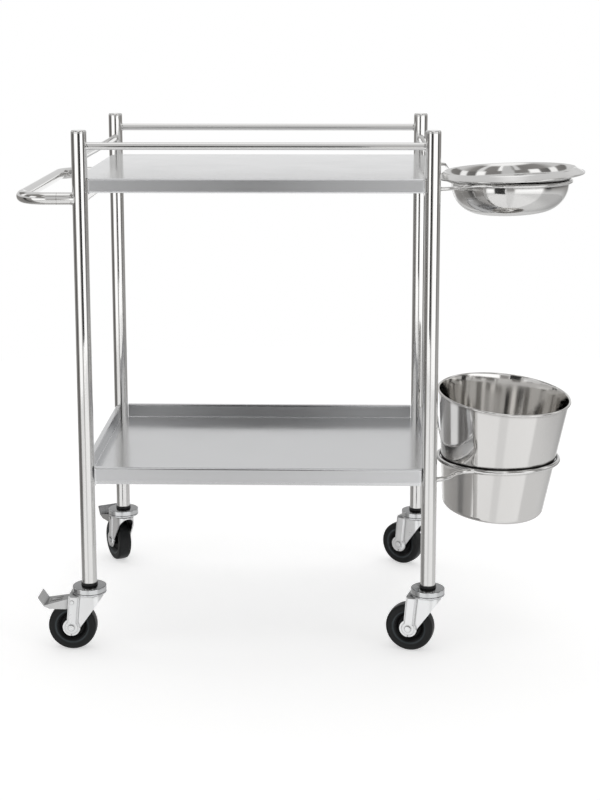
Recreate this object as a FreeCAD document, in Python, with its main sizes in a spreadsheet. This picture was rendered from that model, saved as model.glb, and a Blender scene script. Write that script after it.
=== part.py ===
import FreeCAD, Part
import math
import os
import re
import Sketcher
from FreeCAD import Placement, Rotation, Vector

# Dressing trolley: four tube legs, two sheet shelves, rod rails, a push handle, a bowl and a
# pail in rod rings, and four swivel castors. Millimetres, +Z up, +X towards the bowl,
# +Y towards the back. Everything is built from the floor under the centre of the four legs.

doc = FreeCAD.newDocument("dressing_trolley")

# Driving dimensions.
SIZES = {
    # Frame: four welded tube legs
    "leg_spacing_x": 560.0,
    "leg_spacing_y": 420.0,
    "leg_diameter": 25.0,
    "leg_wall": 1.2,
    "leg_top": 858.0,
    "cap_dome": 4.0,
    "cap_plug": 15.0,
    "plug_play": 0.05,
    "weld_gap": 0.05,
    # Guard rails of rod and cross tubes
    "rail_diameter": 12.0,
    "end_rail_drop": 41.0,
    "long_rail_drop": 21.5,
    "cross_tube_diameter": 20.0,
    "cross_tube_wall": 1.2,
    # Folded sheet shelves
    "sheet": 1.2,
    "shelf_overhang": 9.5,
    "corner_clearance": 13.2,
    "fold_radius": 2.0,
    "upper_shelf_drop": 72.0,
    "upper_skirt": 23.0,
    "hem": 6.0,
    "lower_shelf_height": 313.0,
    "lower_skirt": 28.0,
    "tray_depth": 24.0,
    # Push handle
    "handle_diameter": 20.0,
    "handle_wall": 1.5,
    "handle_reach": 101.0,
    "handle_bend": 48.0,
    "stub_reach": 37.0,
    "spigot_length": 6.0,
    # Bowl and its ring
    "holder_depth": 142.0,
    "bowl_reach": 135.2,
    "bowl_height": 72.5,
    "bowl_flare": 10.5,
    "bowl_wall_radius": 97.5,
    "bowl_corner": 48.0,
    "bowl_wall": 1.0,
    "flange_width": 14.5,
    "flange_drop": 9.0,
    "flange_bead": 3.0,
    "bowl_tilt": 2.6,
    "bowl_seat": 54.0,
    "bowl_ring_drop": 89.0,
    "bowl_ring_rod": 6.0,
    "bowl_ring_play": 1.0,
    # Pail and its ring
    "pail_reach": 125.0,
    "pail_height": 206.0,
    "pail_base_radius": 87.0,
    "pail_rim_radius": 110.5,
    "pail_corner": 9.0,
    "pail_wall": 1.0,
    "pail_bead": 4.0,
    "pail_ring_height": 293.0,
    "pail_ring_rod": 8.0,
    "pail_ring_play": 1.05,
    "pail_seat": 91.0,
    "pail_lean_side": 4.3,
    "pail_lean_front": 5.0,
    "arm_bend": 11.0,
    "arm_slant": 28.0,
    # Castors: the fork trails behind the stem, measured from the stem's axis
    "wheel_diameter": 80.0,
    "wheel_width": 24.0,
    "tyre_depth": 16.0,
    "tyre_shoulder": 5.0,
    "hub_boss_radius": 10.0,
    "trail": 29.0,
    "wheel_side_gap": 2.2,
    "crown_clearance": 13.0,
    "crown_sheet": 3.0,
    "crown_back": 32.3,
    "nose_reach": 6.0,
    "nose_drop": 4.0,
    "fork_sheet": 2.5,
    "fork_boss": 14.5,
    "rib_width": 14.0,
    "rib_rise": 1.0,
    "cup_radius": 28.0,
    "cup_height": 12.5,
    "cup_fall": 1.0,
    "cup_wall": 2.0,
    "cup_lift": 1.5,
    "collar_radius": 13.5,
    "collar_flange": 4.5,
    "race_inner_radius": 17.0,
    "race_outer_radius": 22.0,
    "stem_radius": 6.0,
    "stem_head_radius": 10.0,
    "stem_head": 3.5,
    "stem_grip": 40.0,
    "axle_radius": 4.0,
    "axle_head": 2.0,
    "sleeve_wall": 2.0,
    "running_play": 0.05,
    "thrust_gap": 0.1,
    "yaw_front_left": 2.0,
    "yaw_front_right": 16.0,
    "yaw_back_left": 61.0,
    "yaw_back_right": 33.0,
    # Brake pedals
    "pedal_side_gap": 0.4,
    "pedal_pivot_back": 27.0,
    "pedal_pivot_lift": 4.0,
    "pedal_pin_radius": 2.0,
    "pedal_clearance": 2.8,
    "pedal_front": 20.0,
    "pedal_knee": 31.0,
    "pedal_end": 73.5,
    "pedal_spread": 7.0,
    "pedal_fall": 11.2,
    "pedal_flange": 13.0,
    "pedal_lip_out": 9.0,
    "pedal_lip_up": 14.0,
    "shoe_lift": 1.7,
}

sheet = doc.addObject("Spreadsheet::Sheet", "Sizes")
for row, (name, value) in enumerate(SIZES.items(), start=1):
    sheet.set(f"A{row}", name)
    sheet.set(f"B{row}", str(value))
    sheet.setAlias(f"B{row}", name)
doc.recompute()

gauge = doc.addObject("App::FeaturePython", "Gauge")
gauge.addProperty("App::PropertyFloat", "reading")


def bound(text):
    """The text of a formula, with each size's name read from the sheet."""
    return re.sub(r"[a-z_]+", lambda m: f"Sizes.{m[0]}" if m[0] in SIZES else m[0], str(text))


def number(text):
    """What a formula of sizes comes to."""
    gauge.setExpression("reading", bound(text))
    gauge.recompute()
    return gauge.reading


def bind(item, **formulas):
    """Tie properties of an object to formulas of sizes; x, y and z are its place."""
    places = {"x": "Placement.Base.x", "y": "Placement.Base.y", "z": "Placement.Base.z"}
    for name, text in formulas.items():
        item.setExpression(places.get(name, name), bound(text))
    return item


# Sketches


def sketch_on(body, role, name, lift="0"):
    """A sketch on one of the body's own origin planes, lifted along the plane's normal."""
    plane = next(p for p in body.Origin.OriginFeatures if p.Role == role)
    sketch = body.newObject("Sketcher::SketchObject", name)
    sketch.AttachmentSupport = [(plane, "")]
    sketch.MapMode = "FlatFace"
    sketch.setExpression("AttachmentOffset.Base.z", bound(lift))
    return sketch


def hold(sketch, kind, piece, point, text):
    """Hold a sketch point at a formula's distance from the origin."""
    index = sketch.addConstraint(Sketcher.Constraint(kind, -1, 1, piece, point, number(text)))
    sketch.setExpression(f"Constraints[{index}]", bound(text))


def arc_between(start, end, radius, turn):
    """The shorter arc from start to end; turn is 1 where it turns left and -1 where right."""
    chord = end - start
    rise = math.sqrt(max(radius**2 - (chord.Length / 2) ** 2, 0.0))
    side = Vector(-chord.y, chord.x, 0).normalize() * turn
    centre = (start + end) / 2 + side * rise
    angles = [math.atan2(p.y - centre.y, p.x - centre.x) for p in (start, end)]
    if turn < 0:
        angles.reverse()
    return Part.ArcOfCircle(Part.Circle(centre, Vector(0, 0, 1), radius), *angles)


def outline(sketch, corners, closed=True):
    """Draw a line through corners (x, y); with (x, y, radius, turn) an arc leads on."""
    spots = [Vector(number(c[0]), number(c[1]), 0) for c in corners]
    count = len(corners) if closed else len(corners) - 1
    ends = []
    for i in range(count):
        start, end = spots[i], spots[(i + 1) % len(spots)]
        if len(corners[i]) == 4:
            turn = corners[i][3]
            radius = number(corners[i][2])
            piece = sketch.addGeometry(arc_between(start, end, radius, turn), False)
            ends.append((piece, 1, 2) if turn > 0 else (piece, 2, 1))
            index = sketch.addConstraint(Sketcher.Constraint("Radius", piece, radius))
            sketch.setExpression(f"Constraints[{index}]", bound(corners[i][2]))
        else:
            piece = sketch.addGeometry(Part.LineSegment(start, end), False)
            ends.append((piece, 1, 2))
    for i in range(count if closed else count - 1):
        here, following = ends[i], ends[(i + 1) % count]
        sketch.addConstraint(
            Sketcher.Constraint("Coincident", here[0], here[2], following[0], following[1])
        )
    for i, corner in enumerate(corners):
        piece, point = (ends[i][0], ends[i][1]) if i < count else (ends[-1][0], ends[-1][2])
        hold(sketch, "DistanceX", piece, point, corner[0])
        hold(sketch, "DistanceY", piece, point, corner[1])


def circle(sketch, x, y, radius):
    """Draw a circle about (x, y)."""
    spot = Vector(number(x), number(y), 0)
    piece = sketch.addGeometry(Part.Circle(spot, Vector(0, 0, 1), number(radius)), False)
    hold(sketch, "DistanceX", piece, 3, x)
    hold(sketch, "DistanceY", piece, 3, y)
    index = sketch.addConstraint(Sketcher.Constraint("Radius", piece, number(radius)))
    sketch.setExpression(f"Constraints[{index}]", bound(radius))


# Features


def new_body(name):
    return doc.addObject("PartDesign::Body", name)


def pad(body, sketch, length, reversed_way=False, symmetric=False):
    """Raise a sketch into a solid, as one feature of its body."""
    feature = body.newObject("PartDesign::Pad", f"{sketch.Name}_pad")
    feature.Profile = sketch
    feature.Reversed = reversed_way
    feature.SideType = "Symmetric" if symmetric else "One side"
    return bind(feature, Length=length)


def pocket(body, sketch, length, reversed_way=False, symmetric=False):
    """Cut a sketch into the body; a reversed cut goes along the sketch's normal."""
    feature = body.newObject("PartDesign::Pocket", f"{sketch.Name}_pocket")
    feature.Profile = sketch
    feature.Reversed = reversed_way
    feature.SideType = "Symmetric" if symmetric else "One side"
    return bind(feature, Length=length)


def spin(body, sketch):
    """Turn a section about the Z axis."""
    feature = body.newObject("PartDesign::Revolution", f"{sketch.Name}_turn")
    feature.Profile = sketch
    feature.ReferenceAxis = (sketch, ["V_Axis"])
    feature.Angle = 360.0
    return feature


def turned(name, corners, bead=None):
    """A body turned about the Z axis from an outline of (radius, height) corners, with a
    rolled edge where bead gives the middle and radius of one."""
    body = new_body(name)
    section = sketch_on(body, "XZ_Plane", f"{name}_section")
    outline(section, corners)
    spin(body, section)
    if bead:
        edge = sketch_on(body, "XZ_Plane", f"{name}_bead")
        circle(edge, *bead)
        spin(body, edge)
    return body


def rod_along(body, path, plane, plane_at, rod_radius, centre=("0", "0")):
    """Sweep a round section along a path sketch, from a circle on an origin plane."""
    section = sketch_on(body, plane, f"{path.Name}_section", plane_at)
    circle(section, centre[0], centre[1], rod_radius)
    feature = body.newObject("PartDesign::AdditivePipe", f"{path.Name}_pipe")
    feature.Profile = section
    feature.Spine = path
    return feature


def edges(shape, wanted):
    """The names of a shape's edges that pass a test of their middle and length."""
    names = []
    for i, edge in enumerate(shape.Edges, start=1):
        middle = edge.valueAt((edge.FirstParameter + edge.LastParameter) / 2)
        if wanted(middle, edge):
            names.append(f"Edge{i}")
    return names


def fillet(body, radius, wanted):
    """Round the edges of the body so far that pass the test."""
    doc.recompute()
    tip = body.Tip
    feature = body.newObject("PartDesign::Fillet", f"{body.Name}_round_{len(body.Group)}")
    feature.Base = (tip, edges(tip.Shape, wanted))
    return bind(feature, Radius=radius)


def cylinder(name, radius, height, **place):
    """A plain cylinder that stands at a place given by formulas."""
    return bind(doc.addObject("Part::Cylinder", name), Radius=radius, Height=height, **place)


def cut(name, base, tool):
    result = doc.addObject("Part::Cut", name)
    result.Base = base
    result.Tool = tool
    return result


def joined(name, *shapes):
    result = doc.addObject("Part::MultiFuse", name)
    result.Shapes = list(shapes)
    return result


kept = []


def keep(item, name):
    """Give a finished piece its own name and put it on the list of pieces to write."""
    item.Label = name
    kept.append(item)
    return item


CORNERS = {
    "front_left": (-1, -1),
    "front_right": (1, -1),
    "back_left": (-1, 1),
    "back_right": (1, 1),
}


def corner_place(name):
    """Formulas of the leg centre at a corner."""
    sx, sy = CORNERS[name]
    return {"x": f"{sx} * leg_spacing_x / 2", "y": f"{sy} * leg_spacing_y / 2"}


def at(item, x="0", y="0", z="0", yaw="0", pitch="0", roll="0"):
    """Place an object by formulas, turned by roll about X, then pitch about Y, yaw about Z."""
    text = f"placement(vector({x}; {y}; {z}); rotation({yaw}; {pitch}; {roll}))"
    item.setExpression("Placement", bound(text))
    return item


def copy_at(name, model, **place):
    """A copy of a model, at a place of its own."""
    copy = doc.addObject("Part::Compound", name)
    copy.Links = [model]
    return at(copy, **place)


# Heights that the castors give, from the floor up

AXLE_HEIGHT = "wheel_diameter / 2"
CROWN_UNDERSIDE = "(wheel_diameter + crown_clearance)"
FORK_TOP = f"({CROWN_UNDERSIDE} + crown_sheet)"
CUP_TOP = f"({FORK_TOP} + cup_lift + cup_height)"
LEG_BOTTOM = f"({CUP_TOP} + collar_flange)"
LEG_LENGTH = f"leg_top - {LEG_BOTTOM}"
UPPER_SHELF_TOP = "leg_top - upper_shelf_drop"
BOWL_RING_LEVEL = "leg_top - bowl_ring_drop"


# Legs: drawn tube, each with a domed cap pressed into its top

LEG_RADIUS = "leg_diameter / 2"
LEG_BORE = "leg_diameter / 2 - leg_wall"
leg_envelopes = []
for corner in CORNERS:
    place = corner_place(corner)
    outer = cylinder(f"leg_{corner}_skin", LEG_RADIUS, LEG_LENGTH, z=LEG_BOTTOM, **place)
    bore = cylinder(f"leg_{corner}_bore", LEG_BORE, LEG_LENGTH, z=LEG_BOTTOM, **place)
    keep(cut(f"leg_{corner}_tube", outer, bore), f"leg_{corner}")
    leg_envelopes.append(
        cylinder(
            f"leg_{corner}_envelope", f"{LEG_RADIUS} + weld_gap", LEG_LENGTH, z=LEG_BOTTOM, **place
        )
    )
legs = joined("leg_envelopes", *leg_envelopes)

for corner in CORNERS:
    cap = turned(
        f"cap_{corner}",
        [
            ("0", "leg_top - cap_plug"),
            (f"{LEG_BORE} - plug_play", "leg_top - cap_plug"),
            (f"{LEG_BORE} - plug_play", "leg_top + weld_gap"),
            (LEG_RADIUS, "leg_top + weld_gap"),
            (LEG_RADIUS, "leg_top + cap_dome / 4", "cap_dome * 3 / 4", 1),
            (f"{LEG_RADIUS} - cap_dome * 3 / 4", "leg_top + cap_dome"),
            ("0", "leg_top + cap_dome"),
        ],
    )
    bind(cap, **corner_place(corner))
    keep(cap, f"leg_cap_{corner}")


# Guard rails and cross tubes: their ends are cut to a saddle round the legs


def bar(name, along, radius, height, side):
    """A rod from leg centre to leg centre, along X or Y, on one side of the frame."""
    other = "y" if along == "x" else "x"
    place = {
        along: f"-leg_spacing_{along} / 2",
        other: f"{side} * leg_spacing_{other} / 2",
        "z": height,
    }
    rod = doc.addObject("Part::Cylinder", f"{name}_bar")
    rod.Placement = Placement(Vector(), Rotation(Vector(0, 0, 1), Vector(along == "x", along == "y", 0)))
    return bind(rod, Radius=radius, Height=f"leg_spacing_{along}", **place)


for name, along, height, side in (
    ("guard_rail_front", "x", "leg_top - long_rail_drop", -1),
    ("guard_rail_back", "x", "leg_top - long_rail_drop", 1),
    ("guard_rail_left", "y", "leg_top - end_rail_drop", -1),
    ("guard_rail_right", "y", "leg_top - end_rail_drop", 1),
):
    keep(cut(f"{name}_saddled", bar(name, along, "rail_diameter / 2", height, side), legs), name)

CROSS_RADIUS = "cross_tube_diameter / 2"
CROSS_HEIGHTS = {
    "upper": f"{UPPER_SHELF_TOP} - upper_skirt - {CROSS_RADIUS} - weld_gap",
    "lower": f"lower_shelf_height - lower_skirt - {CROSS_RADIUS} - weld_gap",
}
for level, height in CROSS_HEIGHTS.items():
    for side_name, side in (("left", -1), ("right", 1)):
        name = f"cross_tube_{level}_{side_name}"
        solid = bar(name, "y", CROSS_RADIUS, height, side)
        bore = bar(f"{name}_inner", "y", f"{CROSS_RADIUS} - cross_tube_wall", height, side)
        keep(cut(f"{name}_saddled", cut(f"{name}_hollow", solid, bore), legs), name)


# Shelves: folded sheet, notched at each corner to pass the legs

SHELF_X = "leg_spacing_x / 2 + shelf_overhang"
SHELF_Y = "leg_spacing_y / 2 + shelf_overhang"


def notched_outline(sketch):
    """The shelf seen from above, with a notch round each leg: straight where the skirts end
    beside the leg, and hollow towards the middle of the shelf."""
    radius = f"{LEG_RADIUS} + weld_gap"
    corners = []
    for sx, sy in ((1, -1), (1, 1), (-1, 1), (-1, -1)):
        leg_x, leg_y = f"{sx} * leg_spacing_x / 2", f"{sy} * leg_spacing_y / 2"
        on_x = [
            (f"{leg_x} - {sx} * corner_clearance", f"{sy} * ({SHELF_Y})"),
            (f"{leg_x} - {sx} * corner_clearance", leg_y),
            (f"{leg_x} - {sx} * ({radius})", leg_y, radius, -1),
        ]
        on_y = [
            (leg_x, f"{leg_y} - {sy} * ({radius})"),
            (leg_x, f"{leg_y} - {sy} * corner_clearance"),
            (f"{sx} * ({SHELF_X})", f"{leg_y} - {sy} * corner_clearance"),
        ]
        if sx * sy < 0:
            corners += on_x + on_y
        else:
            on_x[2] = on_x[2][:2]
            start = on_y[0] + (radius, -1)
            corners += [on_y[2], on_y[1], start, on_x[2], on_x[1], on_x[0]]
    outline(sketch, corners)


def rectangle(sketch, half_x, half_y):
    outline(
        sketch,
        [
            (f"-({half_x})", f"-({half_y})"),
            (half_x, f"-({half_y})"),
            (half_x, half_y),
            (f"-({half_x})", half_y),
        ],
    )


def skirt_edges(height):
    """A test for the long straight edges of a shelf's outside at one height."""
    level, reach_x, reach_y = number(height), number(SHELF_X), number(SHELF_Y)
    long_edge = number("leg_spacing_y / 4")

    def wanted(middle, edge):
        outside = abs(abs(middle.x) - reach_x) < 0.01 or abs(abs(middle.y) - reach_y) < 0.01
        return outside and abs(middle.z - level) < 0.01 and edge.Length > long_edge

    return wanted


upper_shelf = new_body("upper_shelf_body")
blank = sketch_on(upper_shelf, "XY_Plane", "upper_shelf_blank", f"{UPPER_SHELF_TOP} - upper_skirt")
notched_outline(blank)
pad(upper_shelf, blank, "upper_skirt")
hem_inside = sketch_on(
    upper_shelf, "XY_Plane", "upper_shelf_hem", f"{UPPER_SHELF_TOP} - upper_skirt"
)
rectangle(hem_inside, f"{SHELF_X} - 2 * sheet", f"{SHELF_Y} - 2 * sheet")
pocket(upper_shelf, hem_inside, "upper_skirt - sheet", reversed_way=True)
skirt_inside = sketch_on(
    upper_shelf, "XY_Plane", "upper_shelf_skirt", f"{UPPER_SHELF_TOP} - upper_skirt + hem"
)
rectangle(skirt_inside, f"{SHELF_X} - sheet", f"{SHELF_Y} - sheet")
pocket(upper_shelf, skirt_inside, "upper_skirt - hem - sheet", reversed_way=True)
fillet(upper_shelf, "fold_radius", skirt_edges(UPPER_SHELF_TOP))
keep(upper_shelf, "upper_shelf")

lower_shelf = new_body("lower_shelf_body")
blank = sketch_on(lower_shelf, "XY_Plane", "lower_shelf_blank", "lower_shelf_height - lower_skirt")
notched_outline(blank)
pad(lower_shelf, blank, "lower_skirt")
recess = sketch_on(lower_shelf, "XY_Plane", "lower_shelf_recess", "lower_shelf_height")
rectangle(recess, "leg_spacing_x / 2", "leg_spacing_y / 2")
pocket(lower_shelf, recess, "tray_depth")
under = sketch_on(
    lower_shelf, "XY_Plane", "lower_shelf_under", "lower_shelf_height - lower_skirt"
)
rectangle(under, f"{SHELF_X} - sheet", f"{SHELF_Y} - sheet")
pocket(lower_shelf, under, "lower_skirt - tray_depth - sheet", reversed_way=True)
rim_inside = sketch_on(
    lower_shelf, "XY_Plane", "lower_shelf_rim", "lower_shelf_height - lower_skirt"
)
rectangle(rim_inside, f"{SHELF_X} - sheet", f"{SHELF_Y} - sheet")
rectangle(rim_inside, "leg_spacing_x / 2 + sheet", "leg_spacing_y / 2 + sheet")
pocket(lower_shelf, rim_inside, "lower_skirt - sheet", reversed_way=True)
fillet(lower_shelf, "fold_radius", skirt_edges("lower_shelf_height"))
keep(lower_shelf, "lower_shelf")


# Push handle: one bent tube, butted on a stub with a spigot on each left leg

HANDLE_RADIUS = "handle_diameter / 2"
HANDLE_BORE = "handle_diameter / 2 - handle_wall"
SEAM = "-leg_spacing_x / 2 - stub_reach - weld_gap"
BEND_START = "-leg_spacing_x / 2 - handle_reach + handle_bend"
OUTER = "-leg_spacing_x / 2 - handle_reach"
FRONT = "-leg_spacing_y / 2"
BACK = "leg_spacing_y / 2"


def handle_sweep(name, radius):
    """The handle's bent line, swept with a round section."""
    body = new_body(name)
    path = sketch_on(body, "XY_Plane", f"{name}_path")
    outline(
        path,
        [
            (SEAM, FRONT),
            (BEND_START, FRONT, "handle_bend", -1),
            (OUTER, f"{FRONT} + handle_bend"),
            (OUTER, f"{BACK} - handle_bend", "handle_bend", -1),
            (BEND_START, BACK),
            (SEAM, BACK),
        ],
        closed=False,
    )
    rod_along(body, path, "YZ_Plane", SEAM, radius, (FRONT, "0"))
    return bind(body, z=CROSS_HEIGHTS["upper"])


handle_tube = cut(
    "handle_tube",
    handle_sweep("handle_outside", HANDLE_RADIUS),
    handle_sweep("handle_inside", HANDLE_BORE),
)
keep(handle_tube, "push_handle")

cross_envelope = bar("cross_envelope", "y", f"{CROSS_RADIUS} + weld_gap", CROSS_HEIGHTS["upper"], -1)
beside_stubs = joined("beside_stubs", legs, cross_envelope)
for name, side in (("front", -1), ("back", 1)):
    parts = []
    for part_name, radius, length in (
        ("collar", HANDLE_RADIUS, "stub_reach"),
        ("spigot", f"{HANDLE_BORE} - plug_play", "stub_reach + spigot_length"),
    ):
        rod = doc.addObject("Part::Cylinder", f"stub_{name}_{part_name}")
        rod.Placement = Placement(Vector(), Rotation(Vector(0, 0, 1), Vector(-1, 0, 0)))
        parts.append(
            bind(
                rod,
                Radius=radius,
                Height=length,
                x="-leg_spacing_x / 2",
                y=f"{side} * leg_spacing_y / 2",
                z=CROSS_HEIGHTS["upper"],
            )
        )
    stub = cut(f"stub_{name}_saddled", joined(f"stub_{name}", *parts), beside_stubs)
    keep(stub, f"handle_stub_{name}")


# Rings: a rod bent to a circle, with one arm to each right leg welded on. The front arm
# leaves its leg and swings back to the ring; the back arm turns forward at once and runs
# straight to it. Both meet the ring at a slant.


def holder_ring(name, reach, radius, rod, height):
    leg_x = "(leg_spacing_x / 2)"
    ring_x = f"({leg_x} + {reach})"
    ring_y = f"({FRONT} + holder_depth)"
    body = new_body(f"{name}_circle")
    section = sketch_on(body, "XZ_Plane", f"{name}_section")
    circle(section, radius, "0", f"{rod} / 2")
    spin(body, section)
    at(body, x=ring_x, y=ring_y, z=height)

    run = f"({reach} - {radius} * sin(arm_slant * 1 deg))"
    shift = f"(holder_depth - {radius} * cos(arm_slant * 1 deg))"
    bend = f"({run}^2 + {shift}^2) / (4 * {shift})"
    front_arm = new_body(f"{name}_front_arm")
    path = sketch_on(front_arm, "XY_Plane", f"{name}_front_path")
    outline(
        path,
        [
            (leg_x, FRONT, bend, 1),
            (f"{leg_x} + {run} / 2", f"{FRONT} + {shift} / 2", bend, -1),
            (f"{leg_x} + {run}", f"{FRONT} + {shift}"),
        ],
        closed=False,
    )
    rod_along(front_arm, path, "YZ_Plane", leg_x, f"{rod} / 2 - weld_gap", (FRONT, "0"))
    at(front_arm, z=height)

    arm_x = f"({ring_x} - {radius} * cos(arm_slant * 1 deg))"
    back_arm = new_body(f"{name}_back_arm")
    path = sketch_on(back_arm, "XY_Plane", f"{name}_back_path")
    outline(
        path,
        [
            (leg_x, BACK),
            (f"{arm_x} - arm_bend", BACK, "arm_bend", -1),
            (arm_x, f"{BACK} - arm_bend"),
            (arm_x, f"{ring_y} + {radius} * sin(arm_slant * 1 deg)"),
        ],
        closed=False,
    )
    rod_along(back_arm, path, "YZ_Plane", leg_x, f"{rod} / 2 - weld_gap", (BACK, "0"))
    at(back_arm, z=height)
    return keep(cut(f"{name}_saddled", joined(f"{name}_welded", body, front_arm, back_arm), legs), name)


# The bowl's flare is part of a circle that meets the wall upright, and the ring's rod
# touches that circle from inside it.
FLARE_RISE = "(bowl_height - bowl_corner)"
FLARE_RUN = "(bowl_flare + bowl_wall)"
BOWL_OPENING = "(bowl_wall_radius + bowl_flare)"
INNER_FLARE = f"(({FLARE_RUN}^2 + {FLARE_RISE}^2) / (2 * {FLARE_RUN}))"
OUTER_FLARE = f"({INNER_FLARE} - bowl_wall)"
ROD_FROM_FLARE = f"({OUTER_FLARE} - bowl_ring_rod / 2 - bowl_ring_play)"
BOWL_RING_RADIUS = (
    f"(bowl_wall_radius + {OUTER_FLARE} - sqrt({ROD_FROM_FLARE}^2 - (bowl_seat - bowl_corner)^2))"
)
holder_ring("bowl_ring", "bowl_reach", BOWL_RING_RADIUS, "bowl_ring_rod", BOWL_RING_LEVEL)

PAIL_SLOPE = "((pail_rim_radius - pail_base_radius) / (pail_height - pail_corner))"
PAIL_RING_RADIUS = (
    f"(pail_base_radius + (pail_seat - pail_corner) * {PAIL_SLOPE}"
    " + pail_ring_play + pail_ring_rod / 2)"
)
holder_ring("pail_ring", "pail_reach", PAIL_RING_RADIUS, "pail_ring_rod", "pail_ring_height")


# Bowl and pail: spun sheet with a rolled edge, each leaning a little in its ring


FLANGE_RADIUS = f"({BOWL_OPENING} + flange_width)"
FLANGE_HEIGHT = "(bowl_height - flange_drop)"
CREST_RISE = f"({FLARE_RISE} - bowl_wall)"
CREST_OUTSIDE = f"bowl_wall_radius + {OUTER_FLARE} - sqrt({OUTER_FLARE}^2 - {CREST_RISE}^2)"
bowl = turned(
    "bowl_model",
    [
        ("0", "0"),
        ("bowl_wall_radius - bowl_corner", "0", "bowl_corner", 1),
        ("bowl_wall_radius", "bowl_corner", OUTER_FLARE, -1),
        (CREST_OUTSIDE, "bowl_height - bowl_wall"),
        (FLANGE_RADIUS, f"{FLANGE_HEIGHT} - bowl_wall / 2"),
        (FLANGE_RADIUS, f"{FLANGE_HEIGHT} + bowl_wall / 2"),
        (f"{BOWL_OPENING} + bowl_wall", "bowl_height"),
        (BOWL_OPENING, "bowl_height", INNER_FLARE, 1),
        ("bowl_wall_radius - bowl_wall", "bowl_corner", "bowl_corner - bowl_wall", -1),
        ("bowl_wall_radius - bowl_corner", "bowl_wall"),
        ("0", "bowl_wall"),
    ],
    bead=(FLANGE_RADIUS, FLANGE_HEIGHT, "flange_bead / 2"),
)
at(bowl, z="-bowl_seat")
# Where a leaning bowl or pail crosses its ring higher up its wall it is wider, so it lies
# a little to the other side.
BOWL_SHIFT = f"tan(bowl_tilt * 1 deg) * {BOWL_RING_RADIUS} * (bowl_seat - bowl_corner) / {OUTER_FLARE}"
leaning_bowl = copy_at(
    "bowl_in_ring",
    bowl,
    x=f"leg_spacing_x / 2 + bowl_reach + {BOWL_SHIFT}",
    y=f"{FRONT} + holder_depth",
    z=BOWL_RING_LEVEL,
    pitch="-bowl_tilt",
)
keep(leaning_bowl, "bowl")

pail = turned(
    "pail_model",
    [
        ("0", "0"),
        ("pail_base_radius - pail_corner", "0", "pail_corner", 1),
        ("pail_base_radius", "pail_corner"),
        ("pail_rim_radius", "pail_height"),
        ("pail_rim_radius - pail_wall", "pail_height"),
        ("pail_base_radius - pail_wall", "pail_corner", "pail_corner - pail_wall", -1),
        ("pail_base_radius - pail_corner", "pail_wall"),
        ("0", "pail_wall"),
    ],
    bead=("pail_rim_radius - pail_wall + pail_bead / 2", "pail_height - pail_bead / 2", "pail_bead / 2"),
)
at(pail, z="-pail_seat")
PAIL_SHIFT = f"{PAIL_RING_RADIUS} * {PAIL_SLOPE}"
leaning_pail = copy_at(
    "pail_in_ring",
    pail,
    x=f"leg_spacing_x / 2 + pail_reach - tan(pail_lean_side * 1 deg) * {PAIL_SHIFT}",
    y=f"{FRONT} + holder_depth + tan(pail_lean_front * 1 deg) * {PAIL_SHIFT}",
    z="pail_ring_height",
    pitch="pail_lean_side",
    roll="pail_lean_front",
)
keep(leaning_pail, "pail")


# Castors. Each piece is made once, with the stem's axis on Z and the wheel trailing towards
# -X, and stands in each leg at its own yaw.

FORK_INSIDE = "(wheel_width / 2 + wheel_side_gap)"
FORK_OUTSIDE = f"({FORK_INSIDE} + fork_sheet)"
STEM_HOLE = "(stem_radius + running_play)"


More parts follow.
